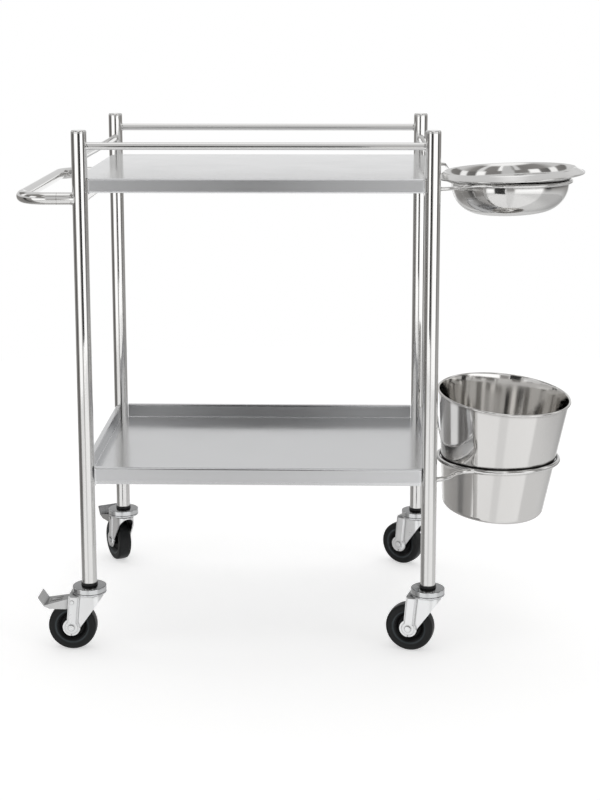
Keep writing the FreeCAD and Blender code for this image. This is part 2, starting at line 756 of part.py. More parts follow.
def castor_fork(name, with_pedal):
    """A pressed fork: a channel with a round nose, cut to the side view, with a raised rib
    that runs down to a round boss at the axle on both sides."""
    body = new_body(name)
    side = sketch_on(body, "XZ_Plane", f"{name}_side")
    outline(
        side,
        [
            ("-crown_back", FORK_TOP),
            ("-trail - fork_boss / 2", f"{AXLE_HEIGHT} + fork_boss * sqrt(3) / 2", "fork_boss", 1),
            ("-trail", f"{AXLE_HEIGHT} - fork_boss", "fork_boss", 1),
            ("-trail + fork_boss", AXLE_HEIGHT),
            (f"nose_reach + {FORK_OUTSIDE}", f"{FORK_TOP} - nose_drop"),
            (f"nose_reach + {FORK_OUTSIDE}", FORK_TOP),
        ],
    )
    pad(body, side, f"2 * {FORK_OUTSIDE}", symmetric=True)
    nose = sketch_on(body, "XY_Plane", f"{name}_nose")
    outline(
        nose,
        [
            ("nose_reach", f"-{FORK_OUTSIDE}", FORK_OUTSIDE, 1),
            (f"nose_reach + {FORK_OUTSIDE}", "0", FORK_OUTSIDE, 1),
            ("nose_reach", FORK_OUTSIDE),
            ("nose_reach", "2 * wheel_width"),
            ("nose_reach + 2 * wheel_width", "2 * wheel_width"),
            ("nose_reach + 2 * wheel_width", "-2 * wheel_width"),
            ("nose_reach", "-2 * wheel_width"),
        ],
    )
    pocket(body, nose, f"{FORK_TOP} * 2", reversed_way=True)
    top = number(FORK_TOP)
    back = number("-crown_back")
    fillet(
        body,
        "crown_sheet",
        lambda middle, edge: abs(middle.z - top) < 0.01 and abs(middle.x - back) > 0.01,
    )
    rib = sketch_on(body, "XZ_Plane", f"{name}_rib")
    outline(
        rib,
        [
            ("-crown_back + fork_sheet / 2", f"{CROWN_UNDERSIDE} - rib_rise"),
            ("-trail - rib_width / 2", AXLE_HEIGHT),
            ("-trail + rib_width / 2", AXLE_HEIGHT),
            ("-crown_back + fork_sheet / 2 + rib_width", f"{CROWN_UNDERSIDE} - rib_rise"),
        ],
    )
    pad(body, rib, f"2 * ({FORK_OUTSIDE} + rib_rise)", symmetric=True)
    boss = sketch_on(body, "XZ_Plane", f"{name}_boss")
    circle(boss, "-trail", AXLE_HEIGHT, "fork_boss * 3 / 4")
    pad(body, boss, f"2 * ({FORK_OUTSIDE} + rib_rise)", symmetric=True)
    inside = sketch_on(body, "XY_Plane", f"{name}_inside")
    outline(
        inside,
        [
            ("-trail - 2 * fork_boss", f"-{FORK_INSIDE}"),
            ("nose_reach", f"-{FORK_INSIDE}", FORK_INSIDE, 1),
            (f"nose_reach + {FORK_INSIDE}", "0", FORK_INSIDE, 1),
            ("nose_reach", FORK_INSIDE),
            ("-trail - 2 * fork_boss", FORK_INSIDE),
        ],
    )
    pocket(body, inside, CROWN_UNDERSIDE, reversed_way=True)
    hole = sketch_on(body, "XY_Plane", f"{name}_stem_hole")
    circle(hole, "0", "0", STEM_HOLE)
    pocket(body, hole, f"{FORK_TOP} * 2", reversed_way=True)
    across = sketch_on(body, "XZ_Plane", f"{name}_cross_holes")
    circle(across, "-trail", AXLE_HEIGHT, "axle_radius + weld_gap")
    if with_pedal:
        circle(across, "-pedal_pivot_back", PIVOT_HEIGHT, "pedal_pin_radius + weld_gap")
    pocket(body, across, f"4 * {FORK_OUTSIDE}", symmetric=True)
    return body


def cross_pin(name, radius, half_length, head_radius, head):
    """A pin along Z with a flat head at each end, its shank half_length to each side."""
    return turned(
        name,
        [
            ("0", f"-{half_length} - {head}"),
            (head_radius, f"-{half_length} - {head}"),
            (head_radius, f"-{half_length}"),
            (radius, f"-{half_length}"),
            (radius, half_length),
            (head_radius, half_length),
            (head_radius, f"{half_length} + {head}"),
            ("0", f"{half_length} + {head}"),
        ],
    )


def tube_model(name, inner, outer, bottom, top):
    return turned(name, [(inner, bottom), (outer, bottom), (outer, top), (inner, top)])


PIVOT_HEIGHT = "(wheel_diameter + pedal_pivot_lift)"
BOSS_FACE = f"({FORK_OUTSIDE} + rib_rise + weld_gap)"
plain_fork = castor_fork("plain_fork", False)
braked_fork = castor_fork("braked_fork", True)

axle = cross_pin("axle_model", "axle_radius", BOSS_FACE, "axle_radius * 1.5", "axle_head")
SLEEVE_BORE = "(axle_radius + running_play)"
SLEEVE_OUTSIDE = "(axle_radius + sleeve_wall)"
SLEEVE_HALF = f"({FORK_INSIDE} - thrust_gap)"
sleeve = tube_model("sleeve_model", SLEEVE_BORE, SLEEVE_OUTSIDE, f"-{SLEEVE_HALF}", SLEEVE_HALF)

HUB_BORE = f"({SLEEVE_OUTSIDE} + running_play)"
HUB_RADIUS = "(wheel_diameter / 2 - tyre_depth)"
BOSS_HALF = f"({FORK_INSIDE} - 2 * thrust_gap)"
RIM_HALF = "(wheel_width * 0.44)"
WEB_HALF = "(wheel_width * 0.2)"
hub = turned(
    "hub_model",
    [
        (HUB_BORE, f"-{BOSS_HALF}"),
        ("hub_boss_radius", f"-{BOSS_HALF}"),
        ("hub_boss_radius + 1", f"-{WEB_HALF}"),
        (f"{HUB_RADIUS} - 4", f"-{WEB_HALF}"),
        (f"{HUB_RADIUS} - 3", f"-{RIM_HALF}"),
        (HUB_RADIUS, f"-{RIM_HALF}"),
        (HUB_RADIUS, RIM_HALF),
        (f"{HUB_RADIUS} - 3", RIM_HALF),
        (f"{HUB_RADIUS} - 4", WEB_HALF),
        ("hub_boss_radius + 1", WEB_HALF),
        ("hub_boss_radius", BOSS_HALF),
        (HUB_BORE, BOSS_HALF),
    ],
)
TYRE_BORE = f"({HUB_RADIUS} + weld_gap)"
TYRE_SIDE = f"({HUB_RADIUS} + tyre_depth * 0.4)"
TREAD = "wheel_diameter / 2"
tyre = turned(
    "tyre_model",
    [
        (TYRE_BORE, f"-{RIM_HALF}"),
        (TYRE_SIDE, "-wheel_width / 2"),
        (f"{TREAD} - tyre_shoulder", "-wheel_width / 2", "tyre_shoulder", 1),
        (TREAD, "-wheel_width / 2 + tyre_shoulder"),
        (TREAD, "wheel_width / 2 - tyre_shoulder", "tyre_shoulder", 1),
        (f"{TREAD} - tyre_shoulder", "wheel_width / 2"),
        (TYRE_SIDE, "wheel_width / 2"),
        (TYRE_BORE, RIM_HALF),
    ],
)
for model in (axle, sleeve, hub, tyre):
    at(model, x="-trail", z=AXLE_HEIGHT, roll="90")

# Swivel head: the stem's head carries the fork's crown, and the cup bears on the thrust race
stem = turned(
    "stem_model",
    [
        ("0", f"{CROWN_UNDERSIDE} - thrust_gap - stem_head"),
        ("stem_head_radius", f"{CROWN_UNDERSIDE} - thrust_gap - stem_head"),
        ("stem_head_radius", f"{CROWN_UNDERSIDE} - thrust_gap"),
        ("stem_radius", f"{CROWN_UNDERSIDE} - thrust_gap"),
        ("stem_radius", f"{LEG_BOTTOM} + stem_grip"),
        ("0", f"{LEG_BOTTOM} + stem_grip"),
    ],
)
collar = turned(
    "collar_model",
    [
        (STEM_HOLE, f"{CUP_TOP} + weld_gap"),
        ("collar_radius", f"{CUP_TOP} + weld_gap"),
        ("collar_radius", f"{LEG_BOTTOM} - weld_gap"),
        (f"{LEG_BORE} - plug_play", f"{LEG_BOTTOM} - weld_gap"),
        (f"{LEG_BORE} - plug_play", f"{LEG_BOTTOM} + stem_grip"),
        (STEM_HOLE, f"{LEG_BOTTOM} + stem_grip"),
    ],
)
CONE_START = "(collar_radius - cup_wall)"
CONE_END = "(cup_radius - cup_fall)"
cup = turned(
    "cup_model",
    [
        (STEM_HOLE, f"{CUP_TOP} - cup_wall"),
        (CONE_START, f"{CUP_TOP} - cup_wall"),
        ("cup_radius - cup_wall", f"{CUP_TOP} - cup_fall - cup_wall"),
        ("cup_radius - cup_wall", f"{CUP_TOP} - cup_height"),
        ("cup_radius", f"{CUP_TOP} - cup_height"),
        ("cup_radius", f"{CUP_TOP} - 2 * cup_fall", "cup_fall", 1),
        (CONE_END, f"{CUP_TOP} - cup_fall"),
        (CONE_START, CUP_TOP),
        (STEM_HOLE, CUP_TOP),
    ],
)
CONE_SLOPE = f"(cup_fall / (cup_radius - cup_wall - {CONE_START}))"
RACE_CEILING = f"({CUP_TOP} - cup_wall - weld_gap)"
race = turned(
    "race_model",
    [
        ("race_inner_radius", f"{FORK_TOP} + thrust_gap"),
        ("race_outer_radius", f"{FORK_TOP} + thrust_gap"),
        ("race_outer_radius", f"{RACE_CEILING} - (race_outer_radius - {CONE_START}) * {CONE_SLOPE}"),
        ("race_inner_radius", f"{RACE_CEILING} - (race_inner_radius - {CONE_START}) * {CONE_SLOPE}"),
    ],
)

# Brake pedal: a pressed channel over the wheel, with an upturned lip and a shoe above the tyre
PEDAL_OUTSIDE = f"({FORK_INSIDE} - pedal_side_gap)"
PEDAL_SHEET = "(wheel_side_gap - 2 * pedal_side_gap)"
PEDAL_TOP = f"({CROWN_UNDERSIDE} - pedal_clearance)"
PEDAL_END_TOP = f"({PEDAL_TOP} - pedal_fall)"
pedal = new_body("pedal_model")
side = sketch_on(pedal, "XZ_Plane", "pedal_side")
outline(
    side,
    [
        ("-pedal_front", PEDAL_TOP),
        ("-pedal_knee", f"{PEDAL_TOP} - {PEDAL_SHEET}"),
        ("-pedal_end", PEDAL_END_TOP),
        ("-pedal_end", f"{PEDAL_END_TOP} - {PEDAL_SHEET}"),
        ("-pedal_end + pedal_lip_out", f"{PEDAL_END_TOP} - pedal_flange / 2"),
        ("-pedal_knee - pedal_flange / 2", f"{PEDAL_TOP} - pedal_flange * 3 / 2"),
        ("-pedal_front", f"{PEDAL_TOP} - pedal_flange"),
    ],
)
pad(pedal, side, f"2 * {PEDAL_OUTSIDE}", symmetric=True)
channel = sketch_on(pedal, "XZ_Plane", "pedal_channel")
outline(
    channel,
    [
        ("-pedal_front + pedal_flange", f"{PEDAL_TOP} - {PEDAL_SHEET}"),
        ("-pedal_front", f"{PEDAL_TOP} - {PEDAL_SHEET}"),
        ("-pedal_knee", f"{PEDAL_TOP} - 2 * {PEDAL_SHEET}"),
        ("-pedal_end", f"{PEDAL_END_TOP} - {PEDAL_SHEET}"),
        ("-pedal_end - pedal_flange", f"{PEDAL_END_TOP} - {PEDAL_SHEET}"),
        ("-pedal_end - pedal_flange", f"{PEDAL_END_TOP} - 3 * pedal_flange"),
        ("-pedal_front + pedal_flange", f"{PEDAL_END_TOP} - 3 * pedal_flange"),
    ],
)
pocket(pedal, channel, f"2 * ({PEDAL_OUTSIDE} - {PEDAL_SHEET})", symmetric=True)
# Its toe widens towards the lip: the walls are cut from a wide block, then the top is laid on
TOE_START = "(pedal_knee + pedal_flange / 2)"
TOE_TOP = f"({PEDAL_TOP} - {PEDAL_SHEET} - (pedal_fall - {PEDAL_SHEET}) * pedal_flange / 2 / (pedal_end - pedal_knee))"
TOE_OUTSIDE = f"({PEDAL_OUTSIDE} + pedal_spread)"
toe = sketch_on(pedal, "XZ_Plane", "pedal_toe")
outline(
    toe,
    [
        (f"-{TOE_START}", TOE_TOP),
        ("-pedal_end", PEDAL_END_TOP),
        ("-pedal_end", f"{PEDAL_END_TOP} - {PEDAL_SHEET}"),
        ("-pedal_end + pedal_lip_out", f"{PEDAL_END_TOP} - pedal_flange / 2"),
        (f"-{TOE_START}", f"{PEDAL_TOP} - pedal_flange * 3 / 2"),
    ],
)
pad(pedal, toe, f"2 * {TOE_OUTSIDE}", symmetric=True)
between_walls = sketch_on(pedal, "XY_Plane", "pedal_between_walls")
outline(
    between_walls,
    [
        (f"-{TOE_START}", f"-{PEDAL_OUTSIDE} + {PEDAL_SHEET}"),
        (f"-{TOE_START}", f"{PEDAL_OUTSIDE} - {PEDAL_SHEET}"),
        ("-pedal_end", f"{TOE_OUTSIDE} - {PEDAL_SHEET}"),
        ("-pedal_end - pedal_lip_out", f"{TOE_OUTSIDE} - {PEDAL_SHEET}"),
        ("-pedal_end - pedal_lip_out", f"-{TOE_OUTSIDE} + {PEDAL_SHEET}"),
        ("-pedal_end", f"-{TOE_OUTSIDE} + {PEDAL_SHEET}"),
    ],
)
pocket(pedal, between_walls, f"{PEDAL_TOP} * 2", reversed_way=True)
toe_top = sketch_on(pedal, "XZ_Plane", "pedal_toe_top")
outline(
    toe_top,
    [
        (f"-{TOE_START}", TOE_TOP),
        ("-pedal_end", PEDAL_END_TOP),
        ("-pedal_end", f"{PEDAL_END_TOP} - {PEDAL_SHEET}"),
        (f"-{TOE_START}", f"{TOE_TOP} - {PEDAL_SHEET}"),
    ],
)
pad(pedal, toe_top, f"2 * {TOE_OUTSIDE}", symmetric=True)
beside_toe = sketch_on(pedal, "XY_Plane", "pedal_beside_toe")
for side_of in (-1, 1):
    outline(
        beside_toe,
        [
            (f"-{TOE_START} + {PEDAL_SHEET}", f"{side_of} * {PEDAL_OUTSIDE}"),
            (f"-{TOE_START}", f"{side_of} * {PEDAL_OUTSIDE}"),
            ("-pedal_end", f"{side_of} * {TOE_OUTSIDE}"),
            ("-pedal_end", f"{side_of} * ({TOE_OUTSIDE} + pedal_spread)"),
            (f"-{TOE_START} + {PEDAL_SHEET}", f"{side_of} * ({TOE_OUTSIDE} + pedal_spread)"),
        ],
    )
pocket(pedal, beside_toe, f"{PEDAL_TOP} * 2", reversed_way=True)
lip = sketch_on(pedal, "XZ_Plane", "pedal_lip")
outline(
    lip,
    [
        (f"-pedal_end + {PEDAL_SHEET}", f"{PEDAL_END_TOP} - {PEDAL_SHEET} / 4"),
        ("-pedal_end - pedal_lip_out", f"{PEDAL_END_TOP} + pedal_lip_up"),
        (f"-pedal_end - pedal_lip_out - {PEDAL_SHEET} * 0.7", f"{PEDAL_END_TOP} + pedal_lip_up - {PEDAL_SHEET} * 0.7"),
        ("-pedal_end", f"{PEDAL_END_TOP} - {PEDAL_SHEET}"),
    ],
)
pad(pedal, lip, f"2 * {TOE_OUTSIDE}", symmetric=True)
shoe = sketch_on(pedal, "XZ_Plane", "pedal_shoe")
SHOE_FRONT = "-pedal_knee - pedal_flange / 2"
SHOE_TOP = f"{PEDAL_TOP} - 4 * {PEDAL_SHEET}"
outline(
    shoe,
    [
        (SHOE_FRONT, "wheel_diameter + shoe_lift"),
        (SHOE_FRONT, f"{PEDAL_TOP} - 2.5 * {PEDAL_SHEET}"),
        (f"{SHOE_FRONT} - pedal_flange / 2", f"{PEDAL_TOP} - 3.5 * {PEDAL_SHEET}"),
        (f"{SHOE_FRONT} - pedal_flange / 2", "wheel_diameter + shoe_lift"),
    ],
)
pad(pedal, shoe, "wheel_width * 2 / 3", symmetric=True)
slots = sketch_on(pedal, "XY_Plane", "pedal_slots")
SLOT_BACK = "-pedal_end + pedal_lip_out"
SLOT_FRONT = f"{SHOE_FRONT} - pedal_flange * 0.7"
SLOT_HALF = "wheel_width / 12"
for direction in (-1, 1):
    middle = f"{direction} * wheel_width / 5"
    outline(
        slots,
        [
            (SLOT_BACK, f"{middle} + {SLOT_HALF}", SLOT_HALF, 1),
            (f"{SLOT_BACK} - {SLOT_HALF}", middle, SLOT_HALF, 1),
            (SLOT_BACK, f"{middle} - {SLOT_HALF}"),
            (SLOT_FRONT, f"{middle} - {SLOT_HALF}", SLOT_HALF, 1),
            (f"{SLOT_FRONT} + {SLOT_HALF}", middle, SLOT_HALF, 1),
            (SLOT_FRONT, f"{middle} + {SLOT_HALF}"),
        ],
    )
pocket(pedal, slots, f"{PEDAL_TOP} * 2", reversed_way=True)
pivot = sketch_on(pedal, "XZ_Plane", "pedal_pivot")
circle(pivot, "-pedal_pivot_back", PIVOT_HEIGHT, "pedal_pin_radius + running_play")
pocket(pedal, pivot, f"4 * {PEDAL_OUTSIDE}", symmetric=True)

pedal_pin = cross_pin("pin_model", "pedal_pin_radius", BOSS_FACE, "pedal_pin_radius * 1.5", "rib_rise")
spring_coil = turned(
    "spring_coil",
    [
        ("pedal_pin_radius + 4 * running_play", "-wheel_width / 4"),
        ("pedal_pin_radius * 1.6", "-wheel_width / 4"),
        ("pedal_pin_radius * 1.6", "wheel_width / 4"),
        ("pedal_pin_radius + 4 * running_play", "wheel_width / 4"),
    ],
)
for model in (pedal_pin, spring_coil):
    at(model, x="-pedal_pivot_back", z=PIVOT_HEIGHT, roll="90")


def four_copies(name, model):
    """One node that holds a copy of a piece in each leg."""
    group = doc.addObject("Part::Compound", name)
    group.Links = [copy_at(f"{name}_{corner}", model, **corner_place(corner)) for corner in CORNERS]
    return keep(group, name)


for name, model in (
    ("castor_stems", stem),
    ("stem_collars", collar),
    ("swivel_cups", cup),
    ("thrust_races", race),
):
    four_copies(name, model)

for corner in CORNERS:
    braked = corner.endswith("left")
    place = {**corner_place(corner), "yaw": f"-yaw_{corner}"}
    pieces = {
        "castor_fork": braked_fork if braked else plain_fork,
        "axle": axle,
        "axle_sleeve": sleeve,
        "wheel_hub": hub,
        "tyre": tyre,
    }
    if braked:
        pieces.update(brake_pedal=pedal, pedal_pin=pedal_pin, pedal_spring=spring_coil)
    for name, model in pieces.items():
        keep(copy_at(f"{name}_{corner}_copy", model, **place), f"{name}_{corner}")


# Check every object, then write each piece with the origin at the bottom of the whole,
# under the middle of its box.

doc.recompute()
failed = [item.Label for item in doc.Objects if {"Invalid", "Error"} & set(item.State)]
for item in kept:
    if item.Shape.isNull() or not item.Shape.isValid() or not item.Shape.Solids:
        failed.append(item.Label)
if failed:
    raise RuntimeError(f"not built: {failed}")

whole = Part.makeCompound([item.Shape for item in kept]).optimalBoundingBox(False)
foot = Vector(whole.Center.x, whole.Center.y, whole.ZMin)
os.makedirs("parts", exist_ok=True)
for item in kept:
    item.Shape.translated(-foot).exportStep(f"parts/{item.Label}.step")
print("pieces", len(kept), "box", whole, "moved by", -foot)
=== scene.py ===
import bmesh
import bpy
import numpy as np
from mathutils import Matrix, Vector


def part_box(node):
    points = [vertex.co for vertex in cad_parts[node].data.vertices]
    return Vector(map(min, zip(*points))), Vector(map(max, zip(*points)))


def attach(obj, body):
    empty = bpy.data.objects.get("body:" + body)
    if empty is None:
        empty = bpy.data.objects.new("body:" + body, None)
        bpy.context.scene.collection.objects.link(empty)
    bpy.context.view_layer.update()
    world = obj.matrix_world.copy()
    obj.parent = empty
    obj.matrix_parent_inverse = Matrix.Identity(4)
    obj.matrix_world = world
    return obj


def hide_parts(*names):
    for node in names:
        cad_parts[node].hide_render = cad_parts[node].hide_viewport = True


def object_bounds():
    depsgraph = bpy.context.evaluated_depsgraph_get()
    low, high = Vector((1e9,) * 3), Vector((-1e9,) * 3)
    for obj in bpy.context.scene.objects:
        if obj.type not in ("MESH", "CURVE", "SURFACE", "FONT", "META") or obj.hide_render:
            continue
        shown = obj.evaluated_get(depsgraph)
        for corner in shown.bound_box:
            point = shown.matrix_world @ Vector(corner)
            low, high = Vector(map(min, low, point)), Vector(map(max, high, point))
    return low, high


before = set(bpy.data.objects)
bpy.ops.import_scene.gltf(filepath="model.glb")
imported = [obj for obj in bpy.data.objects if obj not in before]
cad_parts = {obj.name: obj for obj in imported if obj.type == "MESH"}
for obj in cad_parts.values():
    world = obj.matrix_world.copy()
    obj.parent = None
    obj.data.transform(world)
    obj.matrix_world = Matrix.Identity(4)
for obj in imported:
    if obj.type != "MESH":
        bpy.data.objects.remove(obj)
cad_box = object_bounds()


# Legs: four stainless steel tubes, cut square, mirror polished along their length.
# Everything else is welded to them, and each stands on the stem of a castor.
LEG_SPACING = (560.0, 420.0)
LEG_RADIUS, LEG_WALL = 12.5, 1.2
LEG_FOOT, LEG_TOP = 114.5, 858.0
CORNERS = {
    "front_left": (-1, -1),
    "front_right": (1, -1),
    "back_left": (-1, 1),
    "back_right": (1, 1),
}


def frame_of_legs():
    """The middle of the four legs on the floor, in metres: the mean of their boxes."""
    corners = [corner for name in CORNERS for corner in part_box(f"leg_{name}")]
    middle = np.mean([tuple(corner) for corner in corners], axis=0)
    return np.array([middle[0], middle[1], 0.0])


LEGS_MIDDLE = frame_of_legs()
LEGS_AT = {
    name: np.array([side_x * LEG_SPACING[0] / 2, side_y * LEG_SPACING[1] / 2, 0])
    for name, (side_x, side_y) in CORNERS.items()
}


def turned(profile, steps=96, axis="z"):
    """A closed outline of (radius, height) spun once: (r cos a, r sin a, h), or with the
    height laid along x or y."""
    turn = np.linspace(0, 2 * np.pi, steps, endpoint=False)
    radius, height = profile[:, :1], profile[:, 1:]
    one, two = radius * np.cos(turn), radius * np.sin(turn)
    along = height + 0 * turn
    order = {"z": (one, two, along), "x": (along, one, two), "y": (two, along, one)}
    return np.stack(order[axis], -1)


def rounded(corners, closed=True, steps=6):
    """A line through corners (x, y, radius). Each corner becomes an arc that touches both
    its runs, at p - u r tan(t/2) and p + v r tan(t/2) for a turn t from u to v, and a point
    is set on each run just beside the arc, so that a flat stays flat up to it."""
    corners = np.array(corners, float)
    point, radius = corners[:, :2], corners[:, 2]
    last, following = np.roll(point, 1, 0), np.roll(point, -1, 0)
    if not closed:
        last[0], following[-1] = 2 * point[0] - point[1], 2 * point[-1] - point[-2]
    run_in = np.linalg.norm(point - last, axis=1)
    run_out = np.linalg.norm(following - point, axis=1)
    u, v = (point - last) / run_in[:, None], (following - point) / run_out[:, None]
    turn = np.arctan2(u[:, 0] * v[:, 1] - u[:, 1] * v[:, 0], (u * v).sum(1))
    reach = radius * np.abs(np.tan(turn / 2))
    free_in = run_in - reach - np.roll(reach, 1)
    free_out = run_out - reach - np.roll(reach, -1)
    if not closed:
        free_in[0], free_out[-1] = 0, 0
    side = np.stack([-u[:, 1], u[:, 0]], -1) * np.sign(turn)[:, None]
    start = point - u * reach[:, None]
    centre = start + side * radius[:, None]
    angle = turn[:, None] * np.linspace(0, 1, steps + 1)
    arm = (start - centre)[:, None]
    arc = centre[:, None] + np.stack(
        [
            arm[..., 0] * np.cos(angle) - arm[..., 1] * np.sin(angle),
            arm[..., 0] * np.sin(angle) + arm[..., 1] * np.cos(angle),
        ],
        -1,
    )
    ease_in = np.clip(free_in * 0.2, 0, 0.8)[:, None, None]
    ease_out = np.clip(free_out * 0.2, 0, 0.8)[:, None, None]
    line = np.concatenate(
        [arc[:, :1] - u[:, None] * ease_in, arc, arc[:, -1:] + v[:, None] * ease_out], 1
    ).reshape(-1, 2)
    apart = np.linalg.norm(line - np.roll(line, 1, 0), axis=1) > 1e-6
    apart[0] = apart[0] or not closed
    return line[apart]


LOOP, SPUN, CAPPED, OPEN = (
    (True, True, False),
    (False, True, False),
    (False, True, True),
    (False, False, False),
)


def piece(name, surfaces, finish, body, nodes, crease=32):
    """One mesh from grids of points in millimetres from the middle of the legs. A surface is
    (points, rows closed, columns closed, lids), the last three as in LOOP, SPUN, CAPPED or
    OPEN. Neighbouring points make four-cornered faces, and lids close the end rows."""
    points, faces = [], []
    first = 0
    for grid, rows_closed, columns_closed, lids in surfaces:
        rows, columns = grid.shape[:2]
        row = np.arange(rows if rows_closed else rows - 1)[:, None]
        column = np.arange(columns if columns_closed else columns - 1)[None, :]
        next_row, next_column = (row + 1) % rows, (column + 1) % columns
        quads = np.stack(
            [
                row * columns + column,
                row * columns + next_column,
                next_row * columns + next_column,
                next_row * columns + column,
            ],
            -1,
        )
        faces += (first + quads.reshape(-1, 4)).tolist()
        if lids:
            faces.append((first + np.arange(columns)[::-1]).tolist())
            faces.append((first + (rows - 1) * columns + np.arange(columns)).tolist())
        points.append(grid.reshape(-1, 3))
        first += rows * columns
    mesh = bpy.data.meshes.new(name)
    mesh.from_pydata((np.concatenate(points) / 1000 + LEGS_MIDDLE).tolist(), [], faces)
    form = bmesh.new()
    form.from_mesh(mesh)
    bmesh.ops.remove_doubles(form, verts=form.verts, dist=2e-6)
    bmesh.ops.dissolve_degenerate(form, edges=form.edges, dist=1e-7)
    bmesh.ops.recalc_face_normals(form, faces=form.faces)
    form.to_mesh(mesh)
    form.free()
    mesh.shade_smooth()
    mesh.set_sharp_from_angle(angle=np.radians(crease))
    mesh.materials.append(finish)
    made = bpy.data.objects.new(name, mesh)
    bpy.context.scene.collection.objects.link(made)
    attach(made, body)
    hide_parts(*nodes)
    return made


def add(tree, kind, inputs=(), out=0, **settings):
    """A new shader node: its settings, then its inputs by name or place, each a value or
    another node's output to link. The output called out is returned."""
    node = tree.nodes.new(f"ShaderNode{kind}")
    for name, value in settings.items():
        setattr(node, name, value)
    for socket, value in dict(inputs).items():
        if isinstance(value, bpy.types.NodeSocket):
            tree.links.new(value, node.inputs[socket])
        else:
            node.inputs[socket].default_value = value
    return node.outputs[out]


def mapped(tree, value, least, most, to_least, to_most, kind="LINEAR"):
    """A value between least and most, mapped to the span from to_least to to_most."""
    spans = {"From Min": least, "From Max": most, "To Min": to_least, "To Max": to_most}
    return add(tree, "MapRange", {"Value": value, **spans}, interpolation_type=kind)


def mixed(tree, share, one, other, kind="RGBA"):
    """The first of two colours or numbers where share is 0, the second where it is 1."""
    inputs = {"Factor": share, "A": one, "B": other}
    return add(tree, "Mix", inputs, "Result", data_type=kind)


def computed(tree, kind, *values):
    """Up to three numbers joined by a Math node."""
    return add(tree, "Math", enumerate(values), operation=kind)


def new_material(name):
    """A new material, its node tree, and the inputs of its Principled shader."""
    made = bpy.data.materials.new(name)
    made.use_nodes = True
    return made, made.node_tree, made.node_tree.nodes["Principled BSDF"].inputs


NOISE_LOW, NOISE_HIGH = 0.3, 0.7


def polished_steel(
    name,
    colour,
    shine,
    grain,
    sway,
    tint=0.05,
    scratches=1e-6,
    satin_and_shade=None,
    crevice_shade=0,
    top_shade=1,
):
    """Polished stainless steel: a mirror whose gloss drifts with faint smudges, with fine
    lines left by the polishing along the grain and a slight sway of the surface. shine is
    the (least, most) roughness, grain the stretch along x, y and z, sway and scratches are
    depths in m. satin_and_shade is (low, high, roughness, share): between two heights in mm
    it is duller, and its colour keeps only that share, a painted shade. crevice_shade is how
    far in m ambient occlusion reaches: folds and gaps between parts are darkened, a painted
    shade. top_shade is the share of its colour kept on faces that look up, a painted shade."""
    steel, tree, skin = new_material(name)
    skin["Metallic"].default_value = 1.0
    at = add(tree, "TexCoord", out="Object")
    smudge = add(tree, "TexNoise", {"Scale": 14.0, "Detail": 3.0, "Vector": at})
    stretched = add(tree, "Mapping", {"Scale": grain, "Vector": at})
    lines = add(tree, "TexNoise", {"Scale": 900.0, "Detail": 2.0, "Vector": stretched})
    both = mixed(tree, 0.35, smudge, lines, "FLOAT")
    gloss = mapped(tree, both, NOISE_LOW, NOISE_HIGH, *shine)
    # Each share below is a painted shade, multiplied into the colour.
    painted_shades = []
    # The height band is duller, and its colour is darkened to a share: painted shade.
    if satin_and_shade:
        low, high, roughness, shade_kept = satin_and_shade
        height = add(tree, "SeparateXYZ", {0: at}, "Z")
        middle, half = (low + high) / 2000, (high - low) / 2000
        within = computed(tree, "COMPARE", height, middle, half)
        gloss = computed(tree, "MULTIPLY_ADD", within, roughness - shine[1], gloss)
        painted_shades.append(mapped(tree, within, 0, 1, 1, shade_kept))
    # Ambient occlusion darkens folds and gaps between parts: painted shade.
    if crevice_shade:
        occlusion_shade = add(tree, "AmbientOcclusion", {"Distance": crevice_shade}, "AO", samples=8)
        painted_shades.append(mapped(tree, occlusion_shade, 0.5, 0.93, 0.15, 1))
    # Faces that look up are darkened: painted shade.
    if top_shade < 1:
        up = add(tree, "SeparateXYZ", {0: add(tree, "TexCoord", out="Normal")}, "Z")
        painted_shades.append(mapped(tree, up, 0.3, 0.7, 1, top_shade))
    tone = mixed(tree, both, (*colour, 1), (*(c * (1 - tint) for c in colour), 1))
    for share in painted_shades:
        tone = add(tree, "VectorMath", {0: tone, 1: share}, operation="MULTIPLY")
    swell = add(tree, "TexNoise", {"Scale": 9.0, "Detail": 1.0, "Vector": at})
    bump = add(tree, "Bump", {"Strength": 1, "Distance": sway, "Height": swell})
    scratch = {"Strength": 1, "Distance": scratches, "Height": lines, "Normal": bump}
    tree.links.new(gloss, skin["Roughness"])
    tree.links.new(tone, skin["Base Color"])
    tree.links.new(add(tree, "Bump", scratch), skin["Normal"])
    return steel


STEEL, ROD_STEEL, SPUN_STEEL = (0.80, 0.795, 0.785), (0.79, 0.785, 0.775), (0.79, 0.78, 0.765)
EVEN, ALONG_X, ALONG_Y, ALONG_Z = (1, 1, 1), (0.02, 1, 1), (1, 0.02, 1), (1, 1, 0.02)
upright_polish = polished_steel("upright tube polish", STEEL, (0.05, 0.11), ALONG_Z, 0.0002)
TUBE_EDGE = 0.3
wall = rounded(
    [
        (LEG_RADIUS, LEG_FOOT, TUBE_EDGE),
        (LEG_RADIUS, LEG_TOP, TUBE_EDGE),
        (LEG_RADIUS - LEG_WALL, LEG_TOP, TUBE_EDGE),
        (LEG_RADIUS - LEG_WALL, LEG_FOOT, TUBE_EDGE),
    ],
    steps=3,
)
for name, leg_at in LEGS_AT.items():
    piece(
        f"{name}_leg_tube",
        [(turned(wall) + leg_at, *LOOP)],
        upright_polish,
        "frame",
        [f"leg_{name}"],
    )


